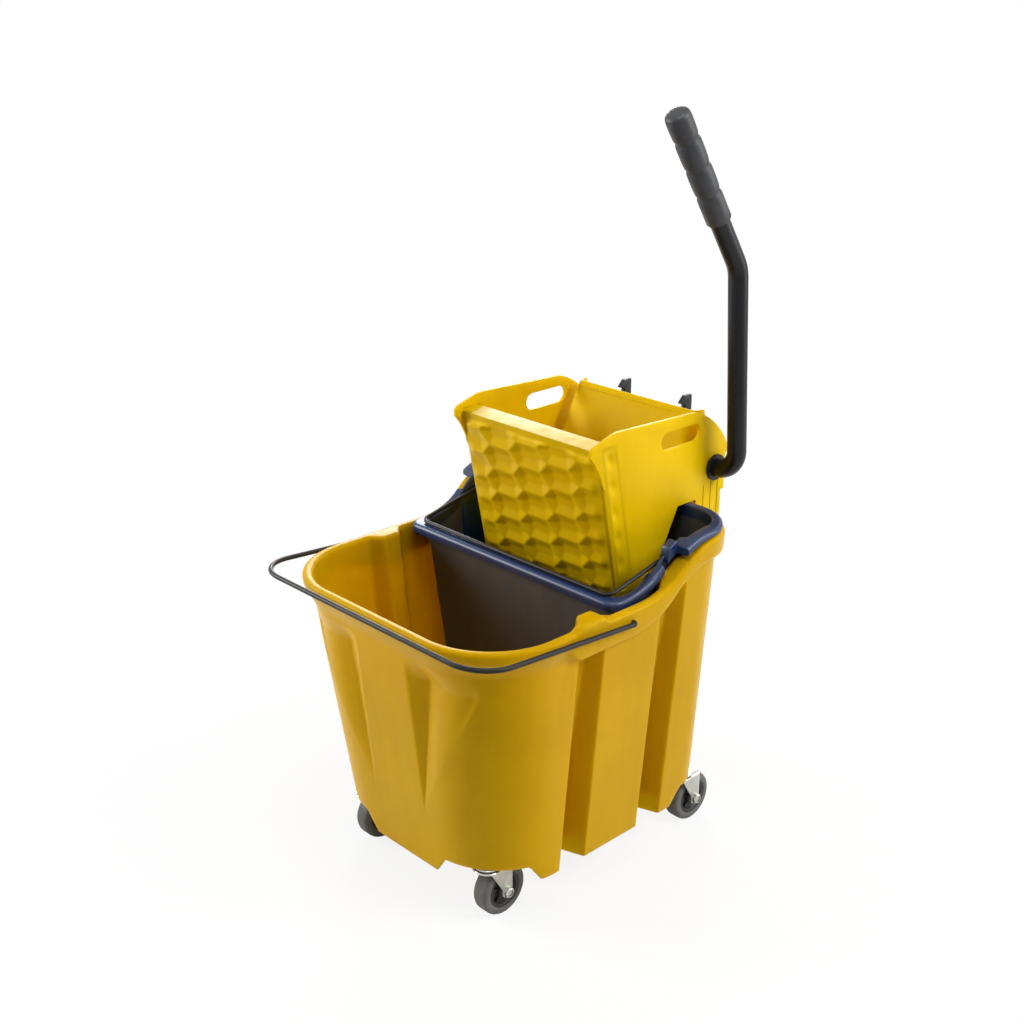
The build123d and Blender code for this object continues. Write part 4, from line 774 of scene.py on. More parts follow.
def pail_column(place, sign):
    """Points of the pail's skin at a place, on the side that the sign says."""
    look_y = pail_place(place, PAIL_LOOK_Z)[1]
    band = rise(look_y, *PAIL_BAND_LINE)
    rim = rise(look_y, *PAIL_RIM_LINE)
    wall = np.array(pail_place(place, rim))
    edge = np.array(rim_edge(place, rim))
    reach = math.dist(wall, edge)
    width = reach + PAIL_WALL
    column = []

    def put(z, out, relief):
        x, y = pail_place(place, z, out, relief)
        column.append((sign * x, y, z))

    def put_rim(z, inset):
        x, y = edge + (wall - edge) * inset / reach
        column.append((sign * x, y, z))

    in_middle, up_middle = PAIL_ROUND_MIDDLE
    put(PAIL_FOOT, -PAIL_ROUND, 0.0)
    put(PAIL_FOOT + up_middle, -in_middle, 0.0)
    put(PAIL_FOOT + PAIL_ROUND, 0.0, 0.0)
    for share in WALL_SHARES:
        put(PAIL_FOOT + PAIL_ROUND + (band - PAIL_FOOT - PAIL_ROUND - 0.5) * share, 0.0, 0.0)
    outer = min(RIM_LIP_OUTER, width / 2)
    inner = min(RIM_LIP_INNER, width / 2)
    put_rim(band, min(reach, RIM_UNDERSIDE))
    put_rim(band, outer * 0.3)
    put_rim(band + 0.6, 0.4)
    put_rim(band + 1.8, 0.0)
    for drop, inset in round_lip(outer, (0, 18, 36, 54, 72, 90)):
        put_rim(rim - drop, inset)
    for drop, inset in round_lip(inner, (90, 60, 30, 0)):
        put_rim(rim - drop, width - inset)
    start = rim - PAIL_WALL - 1.0
    floor_z = PAIL_FOOT + PAIL_WALL
    for share in WALL_SHARES:
        put(start + (floor_z + PAIL_ROUND - start) * share, -PAIL_WALL, PAIL_WALL)
    put(floor_z + up_middle, -PAIL_WALL - in_middle, PAIL_WALL)
    put(floor_z, -PAIL_WALL - PAIL_ROUND, PAIL_WALL)
    return column


print("a column of the pail has", len(pail_column(pail_places[0], 1)), "points")

# %% Build the pail, navy on its rim and inside its drawn-in walls
OUTSIDE_RINGS = 3 + len(WALL_SHARES)
RIM_RINGS = 14
DRAWN_IN_HALF = 17.0
pail_rings = mirrored_rings(pail_column, pail_places)
drawn_in = [kind == "side" and abs(t - FLUTES_Y[1]) < DRAWN_IN_HALF for kind, t in pail_places]
drawn_in += drawn_in[-2:0:-1]
pail_paint = np.zeros((len(pail_rings) - 1, len(drawn_in)), int)
pail_paint[OUTSIDE_RINGS - 1:OUTSIDE_RINGS + RIM_RINGS] = 1
pail_paint[OUTSIDE_RINGS - 1:, drawn_in] = 1
pail_shape = Shape()
pail_shape.grid(pail_rings, capped=True, paint=pail_paint)
print("navy faces of the pail", pail_paint.sum())

# %% The lug on the pail's rim
LUG_ENDS = (69.0, 85.0)
LUG_X = (166.4, 178.4)
front, rear = LUG_ENDS
low, high = (rise(y, *PAIL_RIM_LINE) for y in LUG_ENDS)
lug_outline = [(front, low - 8.0), (rear, high - 8.0), (rear, high + 4.0), (rear - 2.0, high + 6.0),
               (front + 4.0, low + 12.0), (front + 1.5, low + 11.6), (front, low + 9.0)]
pail_shape.plate([lug_outline], *LUG_X, bevel=2.2, paint=1)
make_piece("pail", pail_shape, "pail", "pail_charcoal", pail_charcoal, pail_navy)

# %% [markdown]
# ## The wringer basket
# The basket is a stiffer, brighter yellow moulding: two side walls with a hand slot and a hooked rear,
# a front wall quilted with hexagon dimples, a flat lip along its top, a drain floor, and a saddle that
# hangs over the rear rims. The quilt could be a bump texture, but its ridges are several millimetres
# proud and catch the light, so they are real: a fine grid whose height is worked out cell by cell.
# The same grid turns round the front edges, so they are as round as a moulding's edges are.

# %% The leaning front wall
BASKET_HALF = 116.0
BASKET_WALL = 4.0
BASKET_INNER = BASKET_HALF - BASKET_WALL
BASKET_FOOT = 350.0
BASKET_TOP = 540.0
BASKET_FRONT = 51.0
BASKET_SLOPE = 0.2
EDGE_RADIUS = 5.0
FLAT_HALF = BASKET_HALF - EDGE_RADIUS
LEAN = math.atan(BASKET_SLOPE)
WALL_RUN = (BASKET_TOP - BASKET_FOOT) / math.cos(LEAN)


def front_y(z):
    """Where the front wall's face is at a height."""
    return BASKET_FRONT - BASKET_SLOPE * (z - BASKET_FOOT)


def on_wall(x, up, proud):
    """Point on the leaning front wall: across, up along the wall, and out from its face."""
    y = BASKET_FRONT - up * math.sin(LEAN) - proud * math.cos(LEAN)
    return x, y, BASKET_FOOT + up * math.cos(LEAN) - proud * math.sin(LEAN)


print("front wall runs up", round(WALL_RUN, 1), "mm")

# %% The quilt's dimples
QUILT_PITCH_X = 50.0
QUILT_PITCH_Z = 33.0
QUILT_POINT = 33.25
QUILT_TAPER = 0.7
QUILT_SLOPE = 11.5
QUILT_PROUD = 4.5
QUILT_SIDE_FADE = 10.0
QUILT_END_FADE = 3.0
QUILT_TOP_GAP = 8.0
QUILT_FOOT_GAP = 3.0


def quilt_height(x, up):
    """Height of the quilt at a place on the wall: ridges round hexagon dimples with sloped sides."""
    inset = 0.0
    for column in range(-2, 3):
        across = abs(x - column * QUILT_PITCH_X)
        first = WALL_RUN - QUILT_PITCH_Z * (0.5 if column % 2 else 1.0)
        row = round((first - up) / QUILT_PITCH_Z)
        along = abs(up - first + row * QUILT_PITCH_Z)
        inset = max(inset, min(QUILT_PITCH_Z / 2 - along, QUILT_TAPER * (QUILT_POINT - across - along)))
    ridge = 1 - eased_ramp(inset / QUILT_SLOPE, ease=0.14)
    edge = min(eased_ramp((FLAT_HALF - abs(x)) / QUILT_SIDE_FADE, ease=0.3),
               eased_ramp((WALL_RUN - QUILT_TOP_GAP - up) / QUILT_END_FADE, ease=0.3),
               eased_ramp((up - QUILT_FOOT_GAP) / QUILT_END_FADE, ease=0.3))
    return QUILT_PROUD * ridge * edge


middle_heights = [quilt_height(0.0, up) for up in np.linspace(0.0, WALL_RUN, 60)]
print("quilt is up to", round(max(middle_heights), 2), "mm proud at its middle")

# %% Front wall with its quilt and its rounded edges
EAR_EASE = (486.0, 500.0)
EDGE_PROUD = 0.05
EDGE_SINK_X = 113.0
EDGE_FADE = 3.0
EDGE_ARC = EDGE_RADIUS * math.pi / 2
EDGE_RUNS = [112.0, 113.0, 114.2, 115.5, 116.8, 118.0, 118.854, 122.0]


def edge_share(z):
    """How much of the rounded front edge there is: all of it below the ears, none beside them."""
    return 1.0 - smooth_step(*EAR_EASE, z)


def front_point(run, up):
    """Point of the front skin: across the wall, round its edge, and back along the side wall."""
    past = abs(run) - FLAT_HALF
    if past <= 0:
        return on_wall(run, up, quilt_height(run, up))
    angle = min(past / EDGE_RADIUS, math.pi / 2)
    across = FLAT_HALF + EDGE_RADIUS * math.sin(angle) + EDGE_PROUD
    back = EDGE_RADIUS * (1 - math.cos(angle)) + max(past - EDGE_ARC, 0.0)
    left = edge_share(BASKET_FOOT + up * math.cos(LEAN))
    across = EDGE_SINK_X + (across - EDGE_SINK_X) * left
    proud = quilt_height(FLAT_HALF, up) * max(1 - past / EDGE_FADE, 0.0)
    return on_wall(math.copysign(across, run), up, proud - back * left)


across_steps = [*(-run for run in EDGE_RUNS[::-1]), *np.linspace(-FLAT_HALF, FLAT_HALF, 150), *EDGE_RUNS]
face_rows = [[front_point(run, up) for run in across_steps] for up in np.linspace(0.0, WALL_RUN, 130)]
back_rows = [[on_wall(min(max(run, -BASKET_INNER), BASKET_INNER), up, -BASKET_WALL) for run in across_steps]
             for up in (WALL_RUN, 0.0)]
basket_shape = Shape()
basket_shape.grid(np.array(face_rows + back_rows + face_rows[:1]), closed=False)
print("front wall has", len(face_rows), "rows of", len(across_steps), "points")

# %% Outline of a side wall, with its ear, hook, saddle notch and holes
SHAFT = (226.0, 473.0)
BUSH_BORE = 14.2
SLOT_ENDS = (182.5, 133.5)
SLOT_Z = 527.0
SLOT_RADIUS = 11.0
SIDE_SET_BACK = 4.6
hook = (251.0, 494.0)
hook_middle = (228.2, 525.9)
peak = (184.0, 552.0)
ear_foot = (front_y(505.0), 505.0)
ear_low = (1.0, 536.0)
ear_middle = ((ear_foot[0] + ear_low[0]) / 2 + 2.0, (ear_foot[1] + ear_low[1]) / 2)


def round_points(centre, radius, degrees):
    """Points on a circle in Y and Z at the given angles."""
    turns = [math.radians(angle) for angle in degrees]
    return [(centre[0] + radius * math.cos(turn), centre[1] + radius * math.sin(turn)) for turn in turns]


front_heights = (BASKET_FOOT, 486.0, 490.0, 493.0, 496.0, 500.0)
side_outline = [(front_y(z) + SIDE_SET_BACK * edge_share(z), z) for z in front_heights]
side_outline += arc_through(ear_foot, ear_middle, ear_low, 10)
side_outline += [ear_low, (2.0, 544.0), (6.0, 547.5), (38.0, 557.0), (45.0, 558.0)]
side_outline += arc_through(peak, hook_middle, hook, 16)
side_outline += [hook, (249.6, 488.0), (246.0, 486.0), (246.0, 460.0), (246.0, 440.0), (240.0, 440.0),
                 (240.0, 405.0), (192.0, 405.0), (192.0, 438.4), (158.1, 438.4), (111.7, BASKET_FOOT)]
slot_loop = round_points((SLOT_ENDS[0], SLOT_Z), SLOT_RADIUS, range(-90, 91, 15))
slot_loop += round_points((SLOT_ENDS[1], SLOT_Z), SLOT_RADIUS, range(90, 271, 15))
bush_loop = round_points(SHAFT, BUSH_BORE, np.arange(0, 360, 11.25))
print("side wall has", len(side_outline), "corners, and its holes", len(slot_loop) + len(bush_loop))

# %% [markdown]
# Behind each front edge the side wall has a row of shallow dents, one for each row of dimples. The wall
# itself is flat stock, so it gets an opening there, and a fine grid with the dents closes it.

# %% Side walls with their dents
DENT_TOP = 527.0
DENT_PITCH = 33.8
DENT_BACK = 18.0
DENT_SIZE = (6.0, 7.5)
TOP_DENT_DEPTH = 2.8
DENT_DEPTH = 2.0
DENT_PROUD = 0.08
RIBS_Y = (205.0, 219.0, 232.0)
RIB_WIDE = 7.0
RIB_ENDS = (408.0, 455.0)
RIB_PROUD = 0.9


def dent_depth(back, z):
    """Depth of the dent nearest to a place behind the front edge; the one at the ear is the deepest."""
    row = round((DENT_TOP - z) / DENT_PITCH)
    off = z - DENT_TOP + row * DENT_PITCH
    deep = TOP_DENT_DEPTH if row == 0 else DENT_DEPTH
    return deep * math.exp(-((back - DENT_BACK + row) / DENT_SIZE[0]) ** 2 - (off / DENT_SIZE[1]) ** 2)


def dent_area(back_low, back_high, low, high):
    """Four corners of a strip along the front edge, from its distances behind it and its heights."""
    return [(front_y(low) + back_low, low), (front_y(low) + back_high, low),
            (front_y(high) + back_high, high), (front_y(high) + back_low, high)]


def rib_outline_at(y):
    return [(y, RIB_ENDS[0]), (y + RIB_WIDE, RIB_ENDS[0]), (y + RIB_WIDE, RIB_ENDS[1]), (y, RIB_ENDS[1])]


dent_opening = dent_area(9.0, 28.0, 356.0, 541.0)
dent_closing = dent_area(2.0, 31.0, 350.0, 544.0)
for sign in (-1, 1):
    inner = sign * BASKET_INNER
    outer = sign * BASKET_HALF
    basket_shape.plate([side_outline, slot_loop, bush_loop, dent_opening], *sorted((inner, outer)), bevel=1.4)
    dents = [[(sign * (BASKET_HALF + DENT_PROUD - dent_depth(back, z)), front_y(z) + back, z)
              for back in np.linspace(6.5, 30.5, 19)] for z in np.linspace(353.5, 543.5, 96)]
    basket_shape.grid(np.array(dents), closed=False)
    basket_shape.plate([dent_closing], *sorted((inner - sign * 0.04, inner + sign)), bevel=0)
    for rib_y in RIBS_Y:
        rib_faces = sorted((outer - sign, outer + sign * RIB_PROUD))
        basket_shape.plate([rib_outline_at(rib_y)], *rib_faces, bevel=0.8)
print("basket has", len(basket_shape.faces), "faces with its side walls")

# %% Rear wall with the saddle, drain floor and lip
BAND_START = -98.0
LIP_HALF = 112.4
DRAIN_RADIUS = 4.0
DRAIN_PITCH = 24.0
DRAIN_ROWS = (71.8, 95.8)
rear_outline = [(112.6, BASKET_FOOT), (118.1, 376.4), (154.1, 442.4), (240.0, 442.4), (240.0, 405.0),
                (236.0, 405.0), (236.0, 438.4), (156.1, 438.4), (122.1, 374.4), (116.6, BASKET_FOOT)]
basket_shape.plate([rear_outline], -112.5, 112.5, bevel=0.8)
floor_outline = [(-111.5, 51.0), (111.5, 51.0), (114.6, 52.4), (116.0, 56.0), (116.0, 116.6), (-116.0, 116.6),
                 (-116.0, 56.0), (-114.6, 52.4)]
drains = [round_points((DRAIN_PITCH * (place + 0.5), row), DRAIN_RADIUS, np.arange(0, 360, 22.5))
          for row in DRAIN_ROWS for place in range(-4, 4)]
basket_shape.plate([floor_outline, *drains], 346.0, 350.2, bevel=0.6, order=(1, 2, 0))
lip_outline = [(13.0, 540.0), (35.0, 545.0), (35.0, 541.0), (17.8, 535.6)]
basket_shape.plate([lip_outline], -LIP_HALF, BAND_START, bevel=0.7)
# This part of the lip takes the pale yellow, a painted highlight for light from above on its top.
basket_shape.plate([lip_outline], BAND_START, LIP_HALF, bevel=0.7, paint=1)
make_piece("wringer_basket", basket_shape, "wringer", "wringer_yellow", wringer_yellow, painted_lip_highlight,
           name="basket_skin")

# %% [markdown]
# ## The press plate and its push arms
# The plate is a channel that leans back in the basket. Its two side flanges start part of the way up,
# and two ribs behind it take the push of the arms. A plate with a thickness is two parallel skins, so
# its section is drawn once, there and back, and carried along the plate's slope.

# %% The press plate's section and slope
PLATE_HINGE = (104.0, 358.0)
PLATE_LEAN = math.radians(28.6)
PLATE_LENGTH = 212.0
PLATE_FACE = -2.0
PLATE_THICK = 4.0
PLATE_FLAT = 89.0
PLATE_BEND = 12.0
FLANGE_FROM = 122.0
FLANGE_GROWS = 23.0
FLANGE_DEEP = 15.0
FLANGE_END = 203.0
FLANGE_END_SLOPE = 0.58


def on_plate(along, behind):
    """Y and Z of a place on the plate: up along its slope, and behind it."""
    y = PLATE_HINGE[0] + along * math.sin(PLATE_LEAN) + behind * math.cos(PLATE_LEAN)
    return y, PLATE_HINGE[1] + along * math.cos(PLATE_LEAN) - behind * math.sin(PLATE_LEAN)


def channel_line(offset):
    """The plate's section from flange edge to flange edge, as across and behind, at a depth in it."""
    radius = PLATE_BEND - offset
    bend = [(PLATE_FLAT + radius * math.sin(angle), PLATE_FACE + PLATE_BEND - radius * math.cos(angle))
            for angle in np.linspace(0.2, math.pi / 2, 8)]
    half = [(x, PLATE_FACE + offset) for x in np.linspace(0, PLATE_FLAT, 12)] + bend
    half += [(PLATE_FLAT + radius, behind) for behind in (11.5, 13.0, 15.0, 17.0)]
    return [(-x, behind) for x, behind in half[:0:-1]] + half


def flange_limit(along):
    """How far behind the plate its flanges reach: from part of the way up, to an upright end at the top."""
    grown = FLANGE_DEEP * eased_ramp((along - FLANGE_FROM) / FLANGE_GROWS, ease=0.2)
    return grown - PLATE_FACE - FLANGE_END_SLOPE * max(along - FLANGE_END, 0.0)


front_line = channel_line(0.0)
rear_line = channel_line(PLATE_THICK)
print("plate section is", round(2 * front_line[-1][0], 1), "mm wide")

# %% Skin of the press plate, pinched towards its middle near the top
FLANGE_PINCH = 0.35
section = front_line + rear_line[::-1]
partner = rear_line + front_line[::-1]
plate_steps = [(along, 0.0) for along in np.linspace(0, FLANGE_END, 42)]
plate_steps += [(204.0, 0.06), (204.6, 0.06), (205.2, -0.06), (207.5, -0.02), (209.4, 0.1), (210.8, 0.22),
                (211.6, 0.34), (PLATE_LENGTH, 0.46)]


def plate_row(along, pinch):
    """The section at a distance up the plate, with its two skins drawn together by the pinch."""
    row = []
    for (x, behind), (other_x, other_behind) in zip(section, partner):
        share = pinch * (FLANGE_PINCH if abs(x) > PLATE_FLAT else 1.0)
        depth = min(behind + share * (other_behind - behind), flange_limit(along))
        level = 1 + (depth - PLATE_FACE) * math.tan(PLATE_LEAN) / PLATE_LENGTH
        row.append((x + share * (other_x - x), *on_plate(along * level, depth)))
    return row


plate_shape = Shape()
plate_shape.grid(np.array([plate_row(along, pinch) for along, pinch in plate_steps]))
count = len(section)
for start in (0, (len(plate_steps) - 1) * count):
    strip = [[start + k, start + k + 1, start + count - 2 - k, start + count - 1 - k]
             for k in range(len(front_line) - 1)]
    plate_shape.faces += strip
    plate_shape.paint += [0] * len(strip)
print("plate has", len(plate_shape.faces), "faces with its two ends")

# %% Ribs and knuckle of the press plate
ARM_X = 51.0
RIB_HALF = 3.0
RIB_PATH = [(124.0, 0.0), (124.0, 2.0), (156.0, 23.0), (211.0, 23.0), (211.0, 0.0)]
KNUCKLE = [(4.1, -108.5), (6.4, -108.5), (7.0, -107.9), (7.0, 107.9), (6.4, 108.5), (4.1, 108.5)]
ALONG_X = (1, 0, 0)
rib_outline = [on_plate(along, behind) for along, behind in RIB_PATH]
for rib_x in (-ARM_X, ARM_X):
    plate_shape.plate([rib_outline], rib_x - RIB_HALF, rib_x + RIB_HALF)
plate_shape.lathe(KNUCKLE, (0.0, *PLATE_HINGE), ALONG_X, 32)
make_piece("press_plate", plate_shape, "press_plate", "wringer_yellow", wringer_yellow)

# %% Push arms on the cross-shaft
ARM_HALF = 3.5
ARM_EYE = 16.5
tip_y = SHAFT[0] + 20.0
tip_z = SHAFT[1] + 66.0
arm_outline = round_points(SHAFT, ARM_EYE, range(180, 346, 15))
arm_outline += [(SHAFT[0] + 15.6, SHAFT[1] + 5.4), (tip_y + 6.0, tip_z - 12.0), (tip_y + 6.0, tip_z + 9.0),
                (tip_y - 6.0, tip_z + 9.0), (tip_y - 15.0, tip_z), (tip_y - 6.3, tip_z - 3.0),
                (SHAFT[0] - 12.0, SHAFT[1] + 11.3)]
for name, arm_x in (("push_arm_right", ARM_X), ("push_arm_left", -ARM_X)):
    arm_shape = Shape()
    arm_shape.plate([arm_outline], arm_x - ARM_HALF, arm_x + ARM_HALF, bevel=1.2)
    make_piece(name, arm_shape, "lever", "black_plastic", black_plastic)

# %% [markdown]
# ## The lever, its grip and the two bails
# The lever and its cross-shaft are one bent steel tube, and the bails are bent wire. A tube is a
# circle carried along a path of straight runs and arcs, with the CAD model's bend radii. The grip is
# turned: a soft swell between each pair of grooves, and a domed end.

# %% Lever tube
LEVER_X = 150.0
LEVER_RADIUS = 11.75
LEVER_BENDS = (30.0, 45.0)
SHAFT_END_X = -123.0
TUBE_INSET = 5.0
elbow = Vector((LEVER_X, 206.0, 728.0))
lever_top = Vector((LEVER_X, 84.0, 910.0))
grip_axis = (elbow - lever_top).normalized()
lever_corners = [(SHAFT_END_X, *SHAFT), (LEVER_X, *SHAFT), elbow, lever_top + grip_axis * TUBE_INSET]
lever_shape = Shape()
lever_shape.tube(rounded_path(lever_corners, LEVER_BENDS, 20), LEVER_RADIUS, 40)
make_piece("lever_tube", lever_shape, "lever", "black_tube", powder_black)

# %% Grip
GRIP_LENGTH = 146.0
GRIP_SWELLS = 4
DOME = [(0.0, 0.0), (6.0, 0.15), (10.0, 0.7), (12.6, 2.0), (14.0, 4.2), (14.5, 7.0)]
SWELL = [(14.6, 0.1), (14.8, 0.3), (14.7, 0.6), (14.4, 0.8), (14.0, 0.87), (13.1, 0.94), (13.2, 1.0),
         (14.0, 1.04)]
LOWER_END = [(14.8, 145.2), (14.5, 146.0), (11.8, 146.0)]
PLAIN_ENDS = (8.0, 135.0)
swells = [(radius, (part + share) * GRIP_LENGTH / GRIP_SWELLS) for part in range(GRIP_SWELLS)
          for radius, share in SWELL]
swells = [(radius, height) for radius, height in swells if PLAIN_ENDS[0] < height < PLAIN_ENDS[1]]
swells.sort(key=lambda pair: pair[1])
grip_shape = Shape()
grip_shape.lathe(DOME + swells + LOWER_END, lever_top, grip_axis, 48)
make_piece("lever_grip", grip_shape, "lever", "grip_rubber", grip_rubber, sharp=60)

# %% Wire bails
BAIL_HOOK = 5.0


def make_bail(name, pivot, half, inner, reach, tilt, corner, wire, sides):
    """Bent ends on one line, two legs, and a front bar in a tilted plane."""
    front = (pivot[0] - reach * math.cos(tilt), pivot[1] + reach * math.sin(tilt))
    corners = [(inner, *pivot), (half, *pivot), (half, *front),
               (-half, *front), (-half, *pivot), (-inner, *pivot)]
    shape = Shape()
    shape.tube(rounded_path(corners, (BAIL_HOOK, corner, corner, BAIL_HOOK), 16), wire, sides)
    make_piece(name, shape, name, "black_wire", wire_black)


make_bail("bucket_bail", pivot=(-7.0, 364.0), half=199.2145, inner=179.268, reach=238.5,
          tilt=math.radians(4.2), corner=46.0, wire=3.0, sides=20)
PAIL_BAIL_PIVOT = (92.0, 411.109)
PAIL_BAIL_REACH = 108.0
PAIL_BAIL_FRONT_Z = 387.9
make_bail("pail_bail", pivot=PAIL_BAIL_PIVOT, half=162.416, inner=174.008, reach=PAIL_BAIL_REACH,
          tilt=math.asin((PAIL_BAIL_FRONT_Z - PAIL_BAIL_PIVOT[1]) / PAIL_BAIL_REACH),
          corner=10.0, wire=2.5, sides=16)

# %% [markdown]
# ## The casters
# Each caster is a pressed zinc fork under a small swivel race, with a black hub and a grey tyre. The
# fork is one strip of sheet: leg, bend, crown, bend and leg. So it is drawn as one strip, from foot to
# foot, whose width narrows to a rounded end at the axle. Wheels, races, nuts and bolts are turned.

# %% The fork's strip
TRAIL = 18.0
AXLE_Z = 33.0
CROWN_TOP = 69.8
FORK_HALF = 15.1
FORK_PLATE = 2.5
FORK_BEND = 5.0
FORK_FOOT = 8.0
LEG_FRONT = (10.6, -9.0)
LEG_REAR = 26.0
LEG_SLANT_FROM = 37.5
LEG_HEIGHTS = (25.0, 25.3, 26.2, 27.6, 29.4, 31.2, 33.0, 35.5, 38.0, 44.0, 50.0, 56.0, 61.0)


def leg_edges(z):
    """Front and rear edge of a fork leg at a height, from the swivel axis."""
    bow = math.sqrt(max(FORK_FOOT ** 2 - (AXLE_Z - z) ** 2, 0.0))
    if z <= AXLE_Z:
        return TRAIL - bow, TRAIL + bow
    share = min(max((z - LEG_SLANT_FROM) / (CROWN_TOP - LEG_SLANT_FROM), 0.0), 1.0)
    slant = LEG_FRONT[0] + (LEG_FRONT[1] - LEG_FRONT[0]) * share
    return min(slant, TRAIL - bow), LEG_REAR


def fork_strip(thick):
    """Line of the strip in X and Z, at a distance in from its outer face."""
    radius = FORK_BEND - thick
    side = FORK_HALF - thick
    bend = [(side - radius * (1 - math.cos(angle)), CROWN_TOP - FORK_BEND + radius * math.sin(angle))
            for angle in np.linspace(0, math.pi / 2, 8)]
    right = [(side, z) for z in LEG_HEIGHTS] + bend + [(x, CROWN_TOP - thick) for x in (6.0, 2.0)]
    return right + [(-x, z) for x, z in right[::-1]]


print("fork strip has", len(fork_strip(0.0)), "steps from foot to foot")

# %% Fork and stem
FORK_CROWN = [(4.6, CROWN_TOP - FORK_PLATE), (17.4, CROWN_TOP - FORK_PLATE), (18.0, CROWN_TOP - 2.0),
              (18.0, CROWN_TOP - 0.7), (17.3, CROWN_TOP), (4.6, CROWN_TOP)]
STEM_RING = [(11.0, 69.9), (12.0, 70.1), (12.0, 71.6), (16.2, 71.7), (17.0, 72.4), (17.0, 73.3), (16.3, 73.9),
             (5.5, 73.95), (5.5, 103.0), (4.5, 104.0), (0.0, 104.0)]
KING_PIN = [(0.0, 65.2), (5.4, 65.2), (6.0, 65.8), (6.0, 67.2), (4.4, 67.2), (4.4, 70.0)]


def make_fork(corner, x, y):
    """The strip's outer and inner skins, joined, and the round crown over the wheel."""
    skins = []
    for thick in (0.0, FORK_PLATE):
        rows = []
        for (across, z), (_, edge_z) in zip(fork_strip(thick), fork_strip(0.0)):
            front, rear = leg_edges(min(edge_z, CROWN_TOP))
            rows.append([(x + across, y + along, z) for along in np.linspace(front, rear, 7)])
        skins.append(np.array(rows))
    fork = Shape()
    fork.grid(np.concatenate([skins[0], skins[1][:, ::-1]], axis=1), capped=True)
    fork.lathe(FORK_CROWN, (x, y, 0.0), UPRIGHT)
    make_piece(f"caster_fork_{corner}", fork, f"caster_{corner}", "zinc_steel", zinc)


def make_stem(corner, x, y):
    """The swivel race's ring with the stem above it, and the pin that holds the fork below it."""
    stem = Shape()
    stem.lathe(STEM_RING, (x, y, 0.0), UPRIGHT)
    stem.lathe(KING_PIN, (x, y, 0.0), UPRIGHT, 32)
    make_piece(f"caster_stem_{corner}", stem, "bucket", "zinc_steel", zinc)


print("stem reaches up to", STEM_RING[-1][1], "mm, inside its socket")

# %% Wheel
TYRE_HALF = [(23.1, 9.9), (23.6, 10.7), (24.4, 11.0), (28.2, 11.0), (30.2, 10.5), (31.8, 9.3), (32.7, 7.6),
             (33.0, 5.4), (33.0, 2.0)]
HUB_HALF = [(4.1, 12.0), (8.7, 12.0), (9.5, 11.4), (10.4, 5.8), (11.4, 5.0), (16.9, 5.0), (17.8, 5.8),
            (18.7, 9.4), (19.4, 10.0), (23.0, 10.0)]
SPOKES = 5
SPOKE = [(9.0, -1.3), (19.5, -1.3), (19.5, 1.3), (9.0, 1.3)]
SPOKE_FACES = (4.0, 8.2)


def turned_wheel(half_profile, centre):
    """A ring that is the same on both faces, spun about the axle."""
    other_half = [(radius, -width) for radius, width in half_profile[::-1]]
    ring = Shape()
    ring.lathe(half_profile + other_half + half_profile[:1], centre, ALONG_X, 72)
    return ring


def make_wheel(corner, centre):
    """Tyre, and a hub with spokes on both of its faces."""
    tyre = turned_wheel(TYRE_HALF, centre)
    make_piece(f"wheel_tyre_{corner}", tyre, f"wheel_{corner}", "tyre_grey", tyre_grey)
    hub = turned_wheel(HUB_HALF, centre)
    spoke = Shape()
    spoke.plate([SPOKE], *SPOKE_FACES, bevel=0.7)
    for number in range(SPOKES):
        cos = math.cos(math.radians(90 + 360 / SPOKES * number))
        sin = math.sin(math.radians(90 + 360 / SPOKES * number))
        for face in (-1, 1):
            turned = [(centre[0] + face * x, centre[1] + r * cos - w * sin, centre[2] + r * sin + w * cos)
                      for x, r, w in spoke.points]
            hub.add(turned, spoke.faces)
    make_piece(f"wheel_hub_{corner}", hub, f"wheel_{corner}", "hub_black", hub_black)


print("wheel is", 2 * TYRE_HALF[-1][0], "mm across")

# %% Axle bolt and nut
BOLT_HEAD = [(0.0, 4.5), (5.2, 4.5), (6.0, 4.2), (6.93, 3.4), (6.93, 0.0), (0.0, 0.0)]
BOLT_SHANK = [(0.0, 35.0), (3.2, 35.0), (4.0, 34.2), (4.0, -0.5)]
NUT_BLANK = [(4.0, 0.0), (6.93, 0.0), (6.93, 4.4), (6.1, 5.2), (5.3, 5.5), (4.0, 5.5)]
HEXAGON = 6


def make_axle(corner, centre):
    """Bolt and nut, with the nut on the outer side of the caster."""
    outward = math.copysign(1, centre[0])
    inner_face = (centre[0] - outward * FORK_HALF, *centre[1:])
    outer_face = (centre[0] + outward * FORK_HALF, *centre[1:])
    bolt = Shape()
    bolt.lathe(BOLT_HEAD, inner_face, (-outward, 0, 0), HEXAGON)
    bolt.lathe(BOLT_SHANK, inner_face, (outward, 0, 0), 24)
    make_piece(f"axle_bolt_{corner}", bolt, f"caster_{corner}", "zinc_steel", zinc, sharp=30)
    nut = Shape()
    nut.lathe(NUT_BLANK, outer_face, (outward, 0, 0), HEXAGON)
    make_piece(f"axle_nut_{corner}", nut, f"caster_{corner}", "zinc_steel", zinc, sharp=30)


print("nut is", NUT_BLANK[-1][1], "mm thick")

# %% Build the four casters
for corner, (caster_x, caster_y, _) in CASTERS.items():
    wheel_centre = (caster_x, caster_y + TRAIL, AXLE_Z)
    make_fork(corner, caster_x, caster_y)
    make_stem(corner, caster_x, caster_y)
    make_wheel(corner, wheel_centre)
    make_axle(corner, wheel_centre)

# %% [markdown]
# ## Camera, light and floor
# The camera stands where the photograph was taken from: at the right front, a little higher than the
# top of the lever. Five soft lamps light the bucket on a white floor. One strong lamp would be simpler,
# but its shadows would be hard. The floor glows towards the camera and shows only a part of its own
# shading, so it stays white and the shadow under the wheels is faint.

